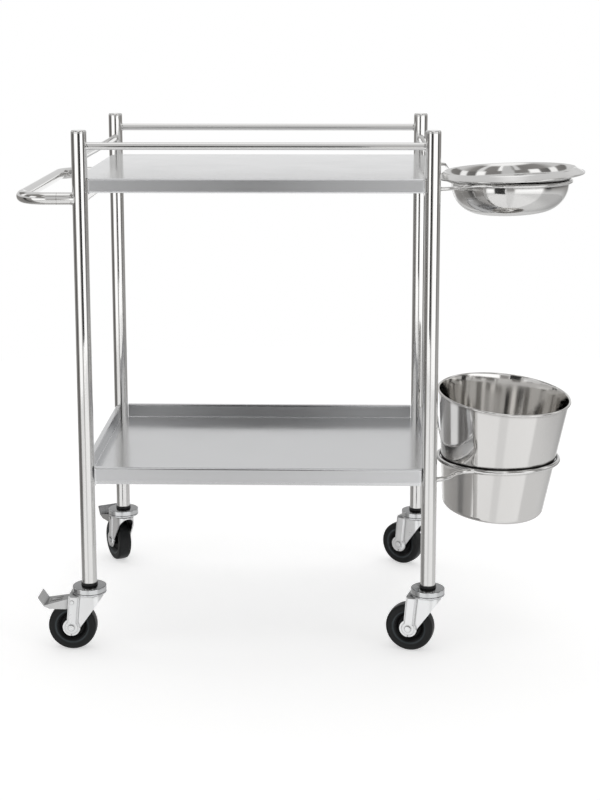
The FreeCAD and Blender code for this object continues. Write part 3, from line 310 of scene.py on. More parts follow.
# Leg caps: pressed steel buttons with a soft domed edge, driven into the tops of the legs
# by a short plug and polished flush with the tube.
CAP_DOME, CAP_PLUG, CAP_PLAY = 4.0, 15.0, 0.05
bore = LEG_RADIUS - LEG_WALL - CAP_PLAY
button = rounded(
    [
        (0, LEG_TOP - CAP_PLUG, 0),
        (bore, LEG_TOP - CAP_PLUG, 0.5),
        (bore, LEG_TOP + CAP_PLAY, 0),
        (LEG_RADIUS, LEG_TOP + CAP_PLAY, 0.2),
        (LEG_RADIUS, LEG_TOP + CAP_DOME, CAP_DOME * 0.75),
        (0, LEG_TOP + CAP_DOME, 0),
    ],
    closed=False,
    steps=10,
)
cap_polish = polished_steel("cap polish", STEEL, (0.07, 0.14), EVEN, 0.0001)
for name, leg_at in LEGS_AT.items():
    piece(
        f"{name}_leg_button",
        [(turned(button) + leg_at, *SPUN)],
        cap_polish,
        "frame",
        [f"leg_cap_{name}"],
    )


# Guard rails: four lengths of round rod welded between the legs above the upper shelf. The
# two short ones sit lower. A ring of weld, ground and polished, stands at each end.
RAIL_RADIUS, RAIL_BEAD, RAIL_SUNK = 6.0, 0.7, 1.6
LONG_RAIL_HEIGHT, END_RAIL_HEIGHT = 836.5, 817.0


def rod_between(half, radius, bead, sunk):
    """A rod's outline as (radius, distance from its middle): it runs into the leg by sunk,
    and swells by bead over the last 2 mm before the leg's wall."""
    wall = half - LEG_RADIUS
    half_line = np.array(
        [
            (radius, 0),
            (radius, wall - 3.0),
            (radius + 0.1 * bead, wall - 2.0),
            (radius + 0.45 * bead, wall - 1.0),
            (radius + bead, wall - 0.2),
            (radius + bead, wall + sunk),
            (0, wall + sunk),
        ]
    )
    return np.concatenate([(half_line * [1, -1])[::-1], half_line[1:]])


rail_polish = {
    "x": polished_steel("long rail polish", ROD_STEEL, (0.06, 0.12), ALONG_X, 0.0001),
    "y": polished_steel("end rail polish", ROD_STEEL, (0.06, 0.12), ALONG_Y, 0.0001),
}
for name, axis, height, side in (
    ("front", "x", LONG_RAIL_HEIGHT, -1),
    ("back", "x", LONG_RAIL_HEIGHT, 1),
    ("left", "y", END_RAIL_HEIGHT, -1),
    ("right", "y", END_RAIL_HEIGHT, 1),
):
    half = LEG_SPACING["xy".index(axis)] / 2
    away = side * LEG_SPACING["yx".index(axis)] / 2
    middle = np.array([0, away, height] if axis == "x" else [away, 0, height])
    rod = rod_between(half, RAIL_RADIUS, RAIL_BEAD, RAIL_SUNK)
    piece(
        f"{name}_guard_rod",
        [(turned(rod, 48, axis) + middle, *SPUN)],
        rail_polish[axis],
        "frame",
        [f"guard_rail_{name}"],
    )


# Cross tubes: a tube from front to back under each end of each shelf, welded between the
# legs. The shelf rests on them.
CROSS_RADIUS, CROSS_BEAD, CROSS_SUNK = 10.0, 0.8, 4.6
CROSS_HEIGHTS = {"upper": 752.95, "lower": 274.95}
for level, height in CROSS_HEIGHTS.items():
    for name, side in (("left", -1), ("right", 1)):
        middle = np.array([side * LEG_SPACING[0] / 2, 0, height])
        tube = rod_between(LEG_SPACING[1] / 2, CROSS_RADIUS, CROSS_BEAD, CROSS_SUNK)
        piece(
            f"{level}_{name}_bearer_tube",
            [(turned(tube, 64, "y") + middle, *SPUN)],
            rail_polish["y"],
            "frame",
            [f"cross_tube_{level}_{name}"],
        )


# Upper shelf: one sheet of 1.2 mm steel, its four sides folded down as a skirt and its lower
# edge hemmed back inside. Each corner is notched to fit round its leg.
SHEET = 1.2
SHELF_HALF = (289.5, 219.5)
UPPER_TOP, UPPER_SKIRT, HEM = 786.0, 23.0, 6.0
FOLD = 3.2
SKIRT_END, NOTCH = 13.2, 12.55
END_ROUND, END_DRAW = 4.0, 0.35
HEM_CHAMFER, HEM_FOOT, SATIN_EDGE = 2.4, 1.0, 2.2


def notched(inset):
    """The sheet's outline seen from above, pulled in by inset along its sides: at each corner
    a quarter circle round the leg joins two short straight cuts. The quarter circle is
    leg + R (cos a, sin a), and the other three corners mirror the first."""
    leg_x, leg_y = LEG_SPACING[0] / 2, LEG_SPACING[1] / 2
    turn = np.linspace(np.pi, 1.5 * np.pi, 17)
    arc = np.stack([leg_x + NOTCH * np.cos(turn), leg_y + NOTCH * np.sin(turn)], -1)
    corner = np.concatenate(
        [
            [[leg_x - SKIRT_END, SHELF_HALF[1] - inset], [leg_x - SKIRT_END, leg_y]],
            arc,
            [[leg_x, leg_y - SKIRT_END], [SHELF_HALF[0] - inset, leg_y - SKIRT_END]],
        ]
    )
    return np.concatenate(
        [corner, (corner * [1, -1])[::-1], corner * [-1, -1], (corner * [-1, 1])[::-1]]
    )


def flat_sheet(outline, bottom, top):
    """A flat sheet: its outline at two heights, with a lid on each."""
    levels = np.array([bottom, top])[:, None, None]
    flat = np.broadcast_to(outline, (2, *outline.shape))
    return np.concatenate([flat, np.broadcast_to(levels, (2, len(outline), 1))], -1)


def folded_sides(section):
    """The four folded sides: a section of (distance in from the outside, height) carried
    along each straight side, from one notch to the next, with its ends closed. Near an end
    the outer skin draws in by r - sqrt(r^2 - (r - e)^2) at a distance e, as a worn edge."""
    inward, height = section.T
    from_end = np.array([0, 0.3, 0.8, 1.6, 2.6, END_ROUND])
    draw = END_ROUND - np.sqrt(END_ROUND**2 - (END_ROUND - from_end) ** 2)
    outer = (inward < 2 * SHEET + 0.1) * (height < height.max() - 1.5)
    draw = np.r_[draw, draw[::-1]][:, None] * END_DRAW * outer
    sides = []
    for axis, sign in ((0, -1), (0, 1), (1, -1), (1, 1)):
        half = LEG_SPACING[axis] / 2 - SKIRT_END
        along = np.r_[from_end - half, half - from_end[::-1]][:, None] + 0 * inward
        across = sign * (SHELF_HALF[1 - axis] - inward - draw)
        up = np.broadcast_to(height, along.shape)
        grid = (along, across, up) if axis == 0 else (across, along, up)
        sides.append((np.stack(grid, -1), *CAPPED))
    return sides


UPPER_INSET = 4.0
upper_section = rounded(
    [
        (UPPER_INSET, UPPER_TOP, 0),
        (0, UPPER_TOP, FOLD),
        (0, UPPER_TOP - UPPER_SKIRT + HEM_CHAMFER, 1.2),
        (HEM_FOOT, UPPER_TOP - UPPER_SKIRT, 0.5),
        (2 * SHEET, UPPER_TOP - UPPER_SKIRT, 0.5),
        (2 * SHEET, UPPER_TOP - UPPER_SKIRT + HEM, 0.2),
        (SHEET, UPPER_TOP - UPPER_SKIRT + HEM, 0),
        (SHEET, UPPER_TOP - SHEET, FOLD - SHEET),
        (UPPER_INSET, UPPER_TOP - SHEET, 0),
    ]
)
ROLLED, SHEET_SWAY, SHEET_LINES = (0.01, 0.01, 2.5), 0.00006, 0.00004
shelf_polish = polished_steel(
    "shelf sheet polish",
    (0.765, 0.77, 0.78),
    (0.12, 0.17),
    ROLLED,
    SHEET_SWAY,
    0.04,
    SHEET_LINES,
    # The skirt is duller, and its colour is darkened to 0.76 of the rest, a painted shade.
    satin_and_shade=(UPPER_TOP - UPPER_SKIRT + SATIN_EDGE, UPPER_TOP - FOLD, 0.45, 0.76),
)
piece(
    "upper_shelf_sheet",
    [
        (flat_sheet(notched(UPPER_INSET), UPPER_TOP - SHEET, UPPER_TOP), *CAPPED),
        *folded_sides(upper_section),
    ],
    shelf_polish,
    "frame",
    ["upper_shelf"],
)


# Lower shelf: a tray from the same sheet. Its floor is sunk, the wall rises round it, turns
# out flat over the top and comes down outside as a skirt.
LOWER_TOP, LOWER_SKIRT, TRAY_DEPTH = 313.0, 28.0, 24.0
RIM_WIDTH = SHELF_HALF[0] - LEG_SPACING[0] / 2
FLOOR_INSET = RIM_WIDTH + 6.0
tray_floor = LOWER_TOP - TRAY_DEPTH
lower_section = rounded(
    [
        (FLOOR_INSET, tray_floor, 0),
        (RIM_WIDTH, tray_floor, 1.2),
        (RIM_WIDTH, LOWER_TOP, 0.8),
        (0, LOWER_TOP, FOLD),
        (0, LOWER_TOP - LOWER_SKIRT, 0.3),
        (SHEET, LOWER_TOP - LOWER_SKIRT, 0.3),
        (SHEET, LOWER_TOP - SHEET, FOLD - SHEET),
        (RIM_WIDTH - SHEET, LOWER_TOP - SHEET, 0),
        (RIM_WIDTH - SHEET, tray_floor - SHEET, 0),
        (FLOOR_INSET, tray_floor - SHEET, 0),
    ]
)
tray_polish = polished_steel(
    "tray sheet polish",
    (0.755, 0.76, 0.77),
    (0.14, 0.2),
    ROLLED,
    SHEET_SWAY,
    0.04,
    SHEET_LINES,
    # The tray's walls and skirt are duller, and their colour is darkened to 0.9, a painted
    # shade.
    satin_and_shade=(tray_floor + 1.0, LOWER_TOP - FOLD, 0.36, 0.9),
)
piece(
    "lower_shelf_tray",
    [
        (flat_sheet(notched(FLOOR_INSET), tray_floor - SHEET, tray_floor), *CAPPED),
        *folded_sides(lower_section),
    ],
    tray_polish,
    "frame",
    ["lower_shelf"],
)


# Push handle: one tube bent twice to a flat loop at the left end, butted on two short stubs
# that are welded to the left legs. The joint shows as a fine line.
HANDLE_RADIUS = 10.0
HANDLE_HEIGHT = CROSS_HEIGHTS["upper"]
HANDLE_OUT, HANDLE_BEND = 381.0, 48.0
SEAM, SEAM_GAP, SEAM_ROUND = 317.05, 0.05, 0.35
STUB_BEAD, STUB_SUNK = 0.8, 4.6


def rod_on(path, radii, steps=48):
    """A round rod along a level line (x, y, z): point = p + r (cos a n + sin a k), where n
    is level and square to the line and k points up."""
    gap = np.r_[0, np.cumsum(np.linalg.norm(np.diff(path, axis=0), axis=1))]
    along = np.gradient(path, gap, axis=0)
    along /= np.linalg.norm(along, axis=1)[:, None]
    out = np.stack([along[:, 1], -along[:, 0], 0 * gap], -1)[:, None]
    up = np.array([0, 0, 1.0])
    turn = np.linspace(0, 2 * np.pi, steps, endpoint=False)[:, None]
    spoke = np.cos(turn) * out + np.sin(turn) * up
    return path[:, None] + np.reshape(radii, (-1, 1, 1)) * spoke


def at_level(line, height):
    """A level line (x, y) lifted to one height."""
    return np.column_stack([line, np.full(len(line), height)])


handle_line = rounded(
    [
        (-SEAM, -LEG_SPACING[1] / 2, 0),
        (-HANDLE_OUT, -LEG_SPACING[1] / 2, HANDLE_BEND),
        (-HANDLE_OUT, LEG_SPACING[1] / 2, HANDLE_BEND),
        (-SEAM, LEG_SPACING[1] / 2, 0),
    ],
    closed=False,
    steps=40,
)
end_x = np.array([SEAM_GAP, SEAM_GAP + SEAM_ROUND])[:, None] * [[-1, 0]]
first, last = handle_line[:1], handle_line[-1:]
handle_line = np.concatenate(
    [first, first + end_x, handle_line[1:-1], (last + end_x)[::-1], last]
)
handle_radii = np.full(len(handle_line), HANDLE_RADIUS)
handle_radii[[0, -1]] -= SEAM_ROUND
handle_radii[[1, -2]] -= 0.3
handle_polish = polished_steel("handle polish", STEEL, (0.05, 0.1), EVEN, 0.00015)
piece(
    "push_handle_loop",
    [(rod_on(at_level(handle_line, HANDLE_HEIGHT), handle_radii, 64), *CAPPED)],
    handle_polish,
    "frame",
    ["push_handle"],
)
for name, side in (("front", -1), ("back", 1)):
    start = -LEG_SPACING[0] / 2 - LEG_RADIUS
    stub = np.array(
        [
            (0, start + STUB_SUNK),
            (HANDLE_RADIUS + STUB_BEAD, start + STUB_SUNK),
            (HANDLE_RADIUS + STUB_BEAD, start + 0.2),
            (HANDLE_RADIUS + 0.45 * STUB_BEAD, start - 1.0),
            (HANDLE_RADIUS + 0.1 * STUB_BEAD, start - 2.0),
            (HANDLE_RADIUS, start - 3.0),
            (HANDLE_RADIUS, SEAM_GAP + SEAM_ROUND - SEAM),
            (HANDLE_RADIUS - SEAM_ROUND, SEAM_GAP - SEAM),
            (0, SEAM_GAP - SEAM),
        ]
    )
    middle = np.array([0, side * LEG_SPACING[1] / 2, HANDLE_HEIGHT])
    piece(
        f"{name}_handle_socket",
        [(turned(stub, 64, "x") + middle, *SPUN)],
        handle_polish,
        "frame",
        [f"handle_stub_{name}"],
    )


# Bowl ring and pail ring: a hoop of round rod with two arms, all welded. The front arm leaves
# the front right leg in a long double bend, the back one runs out and turns forward.
HOLDER_DEPTH, ARM_BEND, ARM_SLANT = 142.0, 11.0, np.radians(28)
ARM_SUNK, ARM_BEAD, HOOP_BEAD = 8, 0.6, 0.4


def hoop(reach, radius, rod, height):
    """The hoop is centre + R (cos a, sin a). Its front arm is two equal arcs, the second the
    first turned half round about their meeting point; its back arm is two straights and an
    arc. Both meet the hoop at the slant, and swell a little there and at the leg."""
    leg_x, front, back = LEG_SPACING[0] / 2, -LEG_SPACING[1] / 2, LEG_SPACING[1] / 2
    ring_x, ring_y = leg_x + reach, front + HOLDER_DEPTH
    turn = np.linspace(0, 2 * np.pi, 193)
    circle = np.stack([ring_x + radius * np.cos(turn), ring_y + radius * np.sin(turn)], -1)
    run = reach - radius * np.sin(ARM_SLANT)
    shift = HOLDER_DEPTH - radius * np.cos(ARM_SLANT)
    bend = (run**2 + shift**2) / (4 * shift)
    sweep = np.linspace(0, np.arcsin(run / 2 / bend), 33)
    first = np.stack([leg_x + bend * np.sin(sweep), front + bend * (1 - np.cos(sweep))], -1)
    middle = np.array([leg_x + run / 2, front + shift / 2])
    front_arm = np.concatenate([first, (2 * middle - first)[::-1][1:]])
    arm_x = ring_x - radius * np.cos(ARM_SLANT)
    back_arm = rounded(
        [
            (leg_x + ARM_SUNK, back, 0),
            (arm_x, back, ARM_BEND),
            (arm_x, ring_y + radius * np.sin(ARM_SLANT), 0),
        ],
        closed=False,
        steps=16,
    )
    root, tip = back_arm[:1], back_arm[-1:]
    back_arm = np.concatenate([root, root + [[6.5, 0]], back_arm[1:-1], tip + [[0, 6]], tip])
    surfaces = []
    ring = rod_on(at_level(circle, height), np.full(len(circle), rod), 40)[:-1]
    surfaces.append((ring, *LOOP))
    front_arm[0, 0] += ARM_SUNK
    for arm in (front_arm, back_arm):
        from_leg = np.linalg.norm(arm - [leg_x, arm[0, 1]], axis=1) - LEG_RADIUS
        to_ring = np.abs(np.linalg.norm(arm - [ring_x, ring_y], axis=1) - radius)
        swell = ARM_BEAD * np.exp(-((np.maximum(from_leg, 0) / 1.6) ** 2))
        swell += HOOP_BEAD * np.exp(-((to_ring / 4.0) ** 2))
        surfaces.append((rod_on(at_level(arm, height), rod - 0.05 + swell, 40), *CAPPED))
    return surfaces


BOWL_REACH, BOWL_RING_HEIGHT, BOWL_RING_ROD = 135.2, 769.0, 3.0
PAIL_REACH, PAIL_RING_HEIGHT, PAIL_RING_ROD = 125.0, 293.0, 4.0
BOWL_HEIGHT, BOWL_CORNER, BOWL_WALL = 72.5, 48.0, 1.0
BOWL_WALL_RADIUS, BOWL_OPENING = 97.5, 108.0
BOWL_SEAT, BOWL_PLAY = 54.0, 1.0
flare_rise = BOWL_HEIGHT - BOWL_CORNER
flare_run = BOWL_OPENING - BOWL_WALL_RADIUS + BOWL_WALL
inner_flare = (flare_run**2 + flare_rise**2) / (2 * flare_run)
outer_flare = inner_flare - BOWL_WALL
rod_from_flare = outer_flare - BOWL_RING_ROD - BOWL_PLAY
rod_inside = np.sqrt(rod_from_flare**2 - (BOWL_SEAT - BOWL_CORNER) ** 2)
bowl_ring_radius = BOWL_WALL_RADIUS + outer_flare - rod_inside
PAIL_HEIGHT, PAIL_CORNER, PAIL_WALL, PAIL_BEAD = 206.0, 9.0, 1.0, 2.0
PAIL_BASE, PAIL_RIM = 87.0, 110.5
PAIL_SEAT, PAIL_PLAY = 91.0, 1.05
pail_slope = (PAIL_RIM - PAIL_BASE) / (PAIL_HEIGHT - PAIL_CORNER)
pail_at_ring = PAIL_BASE + (PAIL_SEAT - PAIL_CORNER) * pail_slope
pail_ring_radius = pail_at_ring + PAIL_PLAY + PAIL_RING_ROD
# How far in m the painted shade reaches in folds and where parts touch, such as a hoop and its
# bowl or pail.
CREVICE_SHADE = 0.006
# Where the hoop meets the legs, the bowl and the pail, its colour is darkened, a painted
# shade.
ring_polish = polished_steel(
    "hoop polish", (0.78, 0.775, 0.765), (0.07, 0.13), EVEN, 0.0001, crevice_shade=CREVICE_SHADE
)
for name, reach, radius, rod, height in (
    ("bowl", BOWL_REACH, bowl_ring_radius, BOWL_RING_ROD, BOWL_RING_HEIGHT),
    ("pail", PAIL_REACH, pail_ring_radius, PAIL_RING_ROD, PAIL_RING_HEIGHT),
):
    piece(
        f"{name}_hoop",
        hoop(reach, radius, rod, height),
        ring_polish,
        "frame",
        [f"{name}_ring"],
    )


# Bowl: spun from one disc of steel, with a wide flange that slopes down to a rolled edge,
# polished inside and out. It drops into its hoop and leans a little.
FLANGE_WIDTH, FLANGE_DROP, FLANGE_BEAD, BOWL_TILT = 14.5, 9.0, 1.5, np.radians(2.6)


def arc(centre, radius, start, end, steps):
    """Points of a circle between two angles in degrees."""
    turn = np.radians(np.linspace(start, end, steps))
    return np.stack([centre[0] + radius * np.cos(turn), centre[1] + radius * np.sin(turn)], -1)


def leaning(grid, centre, pitch, roll):
    """A piece turned about x by roll, then about y by pitch, and moved to its centre."""
    cp, sp, cr, sr = np.cos(pitch), np.sin(pitch), np.cos(roll), np.sin(roll)
    turn_x = np.array([[1, 0, 0], [0, cr, -sr], [0, sr, cr]])
    turn_y = np.array([[cp, 0, sp], [0, 1, 0], [-sp, 0, cp]])
    return grid @ (turn_y @ turn_x).T + np.array(centre)


flare_x = BOWL_WALL_RADIUS + outer_flare
crest = np.degrees(np.arcsin((flare_rise - BOWL_WALL) / outer_flare))
flange_edge = (BOWL_OPENING + FLANGE_WIDTH, BOWL_HEIGHT - FLANGE_DROP)
slope = np.degrees(np.arctan2(-FLANGE_DROP, FLANGE_WIDTH))
reach = np.linspace(0.1, 0.93, 8)[:, None]
over = np.array([[BOWL_OPENING + 0.6, BOWL_HEIGHT]])
under_x = flare_x - outer_flare * np.cos(np.radians(crest))
under = np.array([[under_x, BOWL_HEIGHT - BOWL_WALL]])
bottom_run = np.linspace(6, BOWL_WALL_RADIUS - BOWL_CORNER, 9)
corner_at = (BOWL_WALL_RADIUS - BOWL_CORNER, BOWL_CORNER)
bowl_outline = np.concatenate(
    [
        [[0, 0]],
        np.stack([bottom_run, 0 * bottom_run], -1),
        arc(corner_at, BOWL_CORNER, -86, 0, 40),
        arc((flare_x, BOWL_CORNER), outer_flare, 178, 180 - crest, 16),
        under + reach * (np.array([flange_edge]) - [[0, BOWL_WALL / 2]] - under),
        arc(flange_edge, FLANGE_BEAD, slope - 150, slope + 150, 20),
        (over + reach * (np.array([flange_edge]) + [[0, BOWL_WALL / 2]] - over))[::-1],
        arc((BOWL_OPENING + 0.9, BOWL_HEIGHT - 0.9), 0.9, 75, 150, 6),
        arc((flare_x, BOWL_CORNER), inner_flare, 180 - crest + 1.5, 178, 14),
        arc(corner_at, BOWL_CORNER - BOWL_WALL, 0, -86, 40),
        np.stack([bottom_run[::-1], 0 * bottom_run + BOWL_WALL], -1),
        [[0, BOWL_WALL]],
    ]
)
bowl_shift = np.tan(BOWL_TILT) * bowl_ring_radius * (BOWL_SEAT - BOWL_CORNER) / outer_flare
bowl_centre = (
    LEG_SPACING[0] / 2 + BOWL_REACH + bowl_shift,
    HOLDER_DEPTH - LEG_SPACING[1] / 2,
    BOWL_RING_HEIGHT,
)
# The bowl is darkened in its folds and where it sits in its hoop, a painted shade.
bowl_polish = polished_steel(
    "bowl polish", ROD_STEEL, (0.06, 0.13), EVEN, 0.0006, crevice_shade=CREVICE_SHADE
)
piece(
    "wide_rimmed_bowl",
    [
        (
            leaning(turned(bowl_outline - [0, BOWL_SEAT], 192), bowl_centre, -BOWL_TILT, 0),
            *SPUN,
        )
    ],
    bowl_polish,
    "bowl",
    ["bowl"],
    50,
)


# Pail: spun steel with a straight taper, a tight radius at its base and its rim rolled
# outwards over a wire. It hangs in its hoop by its taper and leans a little.
PAIL_LEAN = (np.radians(4.3), np.radians(5.0))
bead_at = (PAIL_RIM - PAIL_WALL + PAIL_BEAD, PAIL_HEIGHT - PAIL_BEAD)
climb = np.linspace(0.01, 0.985, 14)[:, None]
outer_low = np.array([[PAIL_BASE, PAIL_CORNER]])
outer_high = np.array([[PAIL_RIM, PAIL_HEIGHT]])
inner_shift = np.array([[PAIL_WALL, 0]])
base_run = np.linspace(5, PAIL_BASE - PAIL_CORNER, 10)
pail_outline = np.concatenate(
    [
        [[0, 0]],
        np.stack([base_run, 0 * base_run], -1),
        arc((PAIL_BASE - PAIL_CORNER, PAIL_CORNER), PAIL_CORNER, -85, 0, 14),
        outer_low + climb * (outer_high - outer_low),
        arc(bead_at, PAIL_BEAD, -100, 170, 22),
        (outer_low + climb * (outer_high - outer_low) - inner_shift)[::-1],
        arc((PAIL_BASE - PAIL_CORNER, PAIL_CORNER), PAIL_CORNER - PAIL_WALL, 0, -85, 14),
        np.stack([base_run[::-1], 0 * base_run + PAIL_WALL], -1),
        [[0, PAIL_WALL]],
    ]
)
pail_shift = np.tan(PAIL_LEAN) * pail_ring_radius * pail_slope
pail_centre = (
    LEG_SPACING[0] / 2 + PAIL_REACH - pail_shift[0],
    HOLDER_DEPTH - LEG_SPACING[1] / 2 + pail_shift[1],
    PAIL_RING_HEIGHT,
)
# The pail is darkened in its folds and where its hoop holds it, a painted shade.
pail_polish = polished_steel(
    "pail polish", SPUN_STEEL, (0.05, 0.11), (1, 1, 0.05), 0.0005, crevice_shade=CREVICE_SHADE
)
piece(
    "rolled_rim_pail",
    [
        (
            leaning(turned(pail_outline - [0, PAIL_SEAT], 192), pail_centre, *PAIL_LEAN),
            *SPUN,
        )
    ],
    pail_polish,
    "pail",
    ["pail"],
    50,
)


# Collars: black nylon bushes pressed into the feet of the legs. Each has a thin flange
# between the tube's end and the castor.
COLLAR_RADIUS, COLLAR_TOP, CUP_TOP = 13.5, 114.45, 110.0
STEM_HOLE = 6.05
STEM_GRIP = 40.0


def moulded(name, colour, roughness, grain_size, depth, sheen=0.5, ring=None):
    """Moulded plastic or rubber: a dull skin with a fine grain, a little paler where it is
    rubbed. ring is (centre, distance, half width, gain), all but the last in m: a band at
    that distance from the centre is paler, brightest in its middle, a painted highlight."""
    stuff, tree, skin = new_material(name)
    skin["Specular IOR Level"].default_value = sheen
    at = add(tree, "TexCoord", out="Object")
    rub = add(tree, "TexNoise", {"Scale": 60.0, "Detail": 4.0, "Vector": at})
    darker, lighter = ((*(c * share for c in colour), 1) for share in (0.8, 1.35))
    tone = mixed(tree, rub, darker, lighter)
    # A pale band at one distance from the centre: a painted highlight.
    if ring:
        centre, distance, half_width, gain = ring
        away = add(tree, "VectorMath", {0: at, 1: centre}, "Value", operation="DISTANCE")
        off = computed(tree, "ABSOLUTE", computed(tree, "SUBTRACT", away, distance))
        paler = mapped(tree, off, 0, half_width, gain, 1, "SMOOTHSTEP")
        tone = add(tree, "VectorMath", {0: tone, "Scale": paler}, operation="SCALE")
    dull = mapped(tree, rub, NOISE_LOW, NOISE_HIGH, roughness - 0.08, roughness + 0.08)
    grain = add(tree, "TexNoise", {"Scale": 1 / grain_size, "Vector": at})
    bump = add(tree, "Bump", {"Strength": 0.5, "Distance": depth, "Height": grain})
    tree.links.new(tone, skin["Base Color"])
    tree.links.new(dull, skin["Roughness"])
    tree.links.new(bump, skin["Normal"])
    return stuff


bush = rounded(
    [
        (STEM_HOLE, CUP_TOP + 0.05, 0),
        (COLLAR_RADIUS, CUP_TOP + 0.05, 0.6),
        (COLLAR_RADIUS, COLLAR_TOP, 0.6),
        (bore, COLLAR_TOP, 0),
        (bore, LEG_FOOT + STEM_GRIP, 0.5),
        (STEM_HOLE, LEG_FOOT + STEM_GRIP, 0),
    ]
)
piece(
    "leg_foot_bushes",
    [(turned(bush) + leg_at, *LOOP) for leg_at in LEGS_AT.values()],
    moulded("black nylon", (0.014, 0.014, 0.015), 0.42, 0.0006, 0.00002),
    "frame",
    ["stem_collars"],
)


# Swivel cups: pressed and chromed covers over the castors' bearings, a shallow cone that
# turns down to a bright upright edge. A fine groove runs round it near the bottom.
CUP_RADIUS, CUP_FALL, CUP_WALL, CUP_DEPTH = 28.0, 1.0, 2.0, 12.5
LINE_LOW, LINE_DEEP, LINE_HALF = 2.9, 1.0, 0.7
cup_outline = rounded(
    [
        (STEM_HOLE, CUP_TOP - CUP_WALL, 0),
        (COLLAR_RADIUS - CUP_WALL, CUP_TOP - CUP_WALL, 0),
        (CUP_RADIUS - CUP_WALL, CUP_TOP - CUP_FALL - CUP_WALL, 0.4),
        (CUP_RADIUS - CUP_WALL, CUP_TOP - CUP_DEPTH, 0.4),
        (CUP_RADIUS, CUP_TOP - CUP_DEPTH, 0.5),
        (CUP_RADIUS, CUP_TOP - CUP_DEPTH + LINE_LOW - LINE_HALF, 0.3),
        (CUP_RADIUS - LINE_DEEP, CUP_TOP - CUP_DEPTH + LINE_LOW, 0.3),
        (CUP_RADIUS, CUP_TOP - CUP_DEPTH + LINE_LOW + LINE_HALF, 0.3),
        (CUP_RADIUS, CUP_TOP - CUP_FALL, 1.3),
        (COLLAR_RADIUS - CUP_WALL, CUP_TOP, 0),
        (STEM_HOLE, CUP_TOP, 0),
    ],
    steps=10,
)
piece(
    "bearing_cups",
    [(turned(cup_outline) + leg_at, *LOOP) for leg_at in LEGS_AT.values()],
    polished_steel(
        "bright chrome",
        (0.72, 0.73, 0.74),
        (0.04, 0.09),
        EVEN,
        0.00005,
        # The cone's top is duller and darkened to 0.4 of its colour, and its folds are
        # darkened: painted shade standing in for a dark reflection.
        satin_and_shade=(CUP_TOP - 1.3, CUP_TOP + 0.1, 0.14, 0.4),
        crevice_shade=0.002,
    ),
    "frame",
    ["swivel_cups"],
)


# Castor forks: each is pressed from one sheet of zinc-plated steel, wrapped round the nose
# with a flat crown. A raised rib runs down each cheek to a round boss at the axle.
YAW = {"front_left": 2.0, "front_right": 16.0, "back_left": 61.0, "back_right": 33.0}
TRAIL, AXLE_HEIGHT = 29.0, 40.0
FORK_TOP, FORK_SHEET, FORK_HALF, NOSE_REACH = 96.0, 2.5, 16.7, 6.0
CROWN_BACK, CROWN_EDGE = 32.3, 3.0
BOSS, BOSS_RAISED, RIB_RAISE, GROOVE = 14.5, 10.9, 1.0, 1.5
CHEEK_FOOT, NOSE_DROP = 40.0, 4.0
BACK_REACH, BACK_FOOT = 7.25, 52.56
RIB_FOOT, RIB_LEAN, RIB_WIDTH, RIB_TOP = -36.0, 4.95 / 52, 14.0, 93.5


def castor_place(name):
    """A castor's turn about its stem, as a matrix, and its leg's foot."""
    yaw = np.radians(-YAW[name])
    turn = np.array([[np.cos(yaw), -np.sin(yaw), 0], [np.sin(yaw), np.cos(yaw), 0], [0, 0, 1]])
    return turn, LEGS_AT[name]


def swivelled(grid, name):
    """A castor's piece, made with its stem at the origin, turned by its yaw and moved to
    its leg: (x cos y - y' sin y, x sin y + y' cos y, z)."""
    turn, leg_at = castor_place(name)
    return grid @ turn.T + leg_at


def sheet_weights(fork, name):
    """A vertex group for the sheet's thickness: it grows with the rib and shrinks in the
    groove, so that the inside stays flat. The weight is (sheet + height over the cheek)
    / (sheet + rib), where the height is the distance from the middle less its half width."""
    turn, leg_at = castor_place(name)
    points = np.empty(3 * len(fork.data.vertices))
    fork.data.vertices.foreach_get("co", points)
    x, y, z = (((points.reshape(-1, 3) - LEGS_MIDDLE) * 1000 - leg_at) @ turn).T
    over = np.where(x < NOSE_REACH, np.abs(y), np.hypot(x - NOSE_REACH, y)) - FORK_HALF
    over = np.where(z < FORK_TOP - CROWN_EDGE, over, 0)
    weight = np.round((FORK_SHEET + over) / (FORK_SHEET + RIB_RAISE), 2)
    group = fork.vertex_groups.new(name="sheet")
    for level in np.unique(weight):
        group.add(np.flatnonzero(weight == level).tolist(), float(level), "REPLACE")


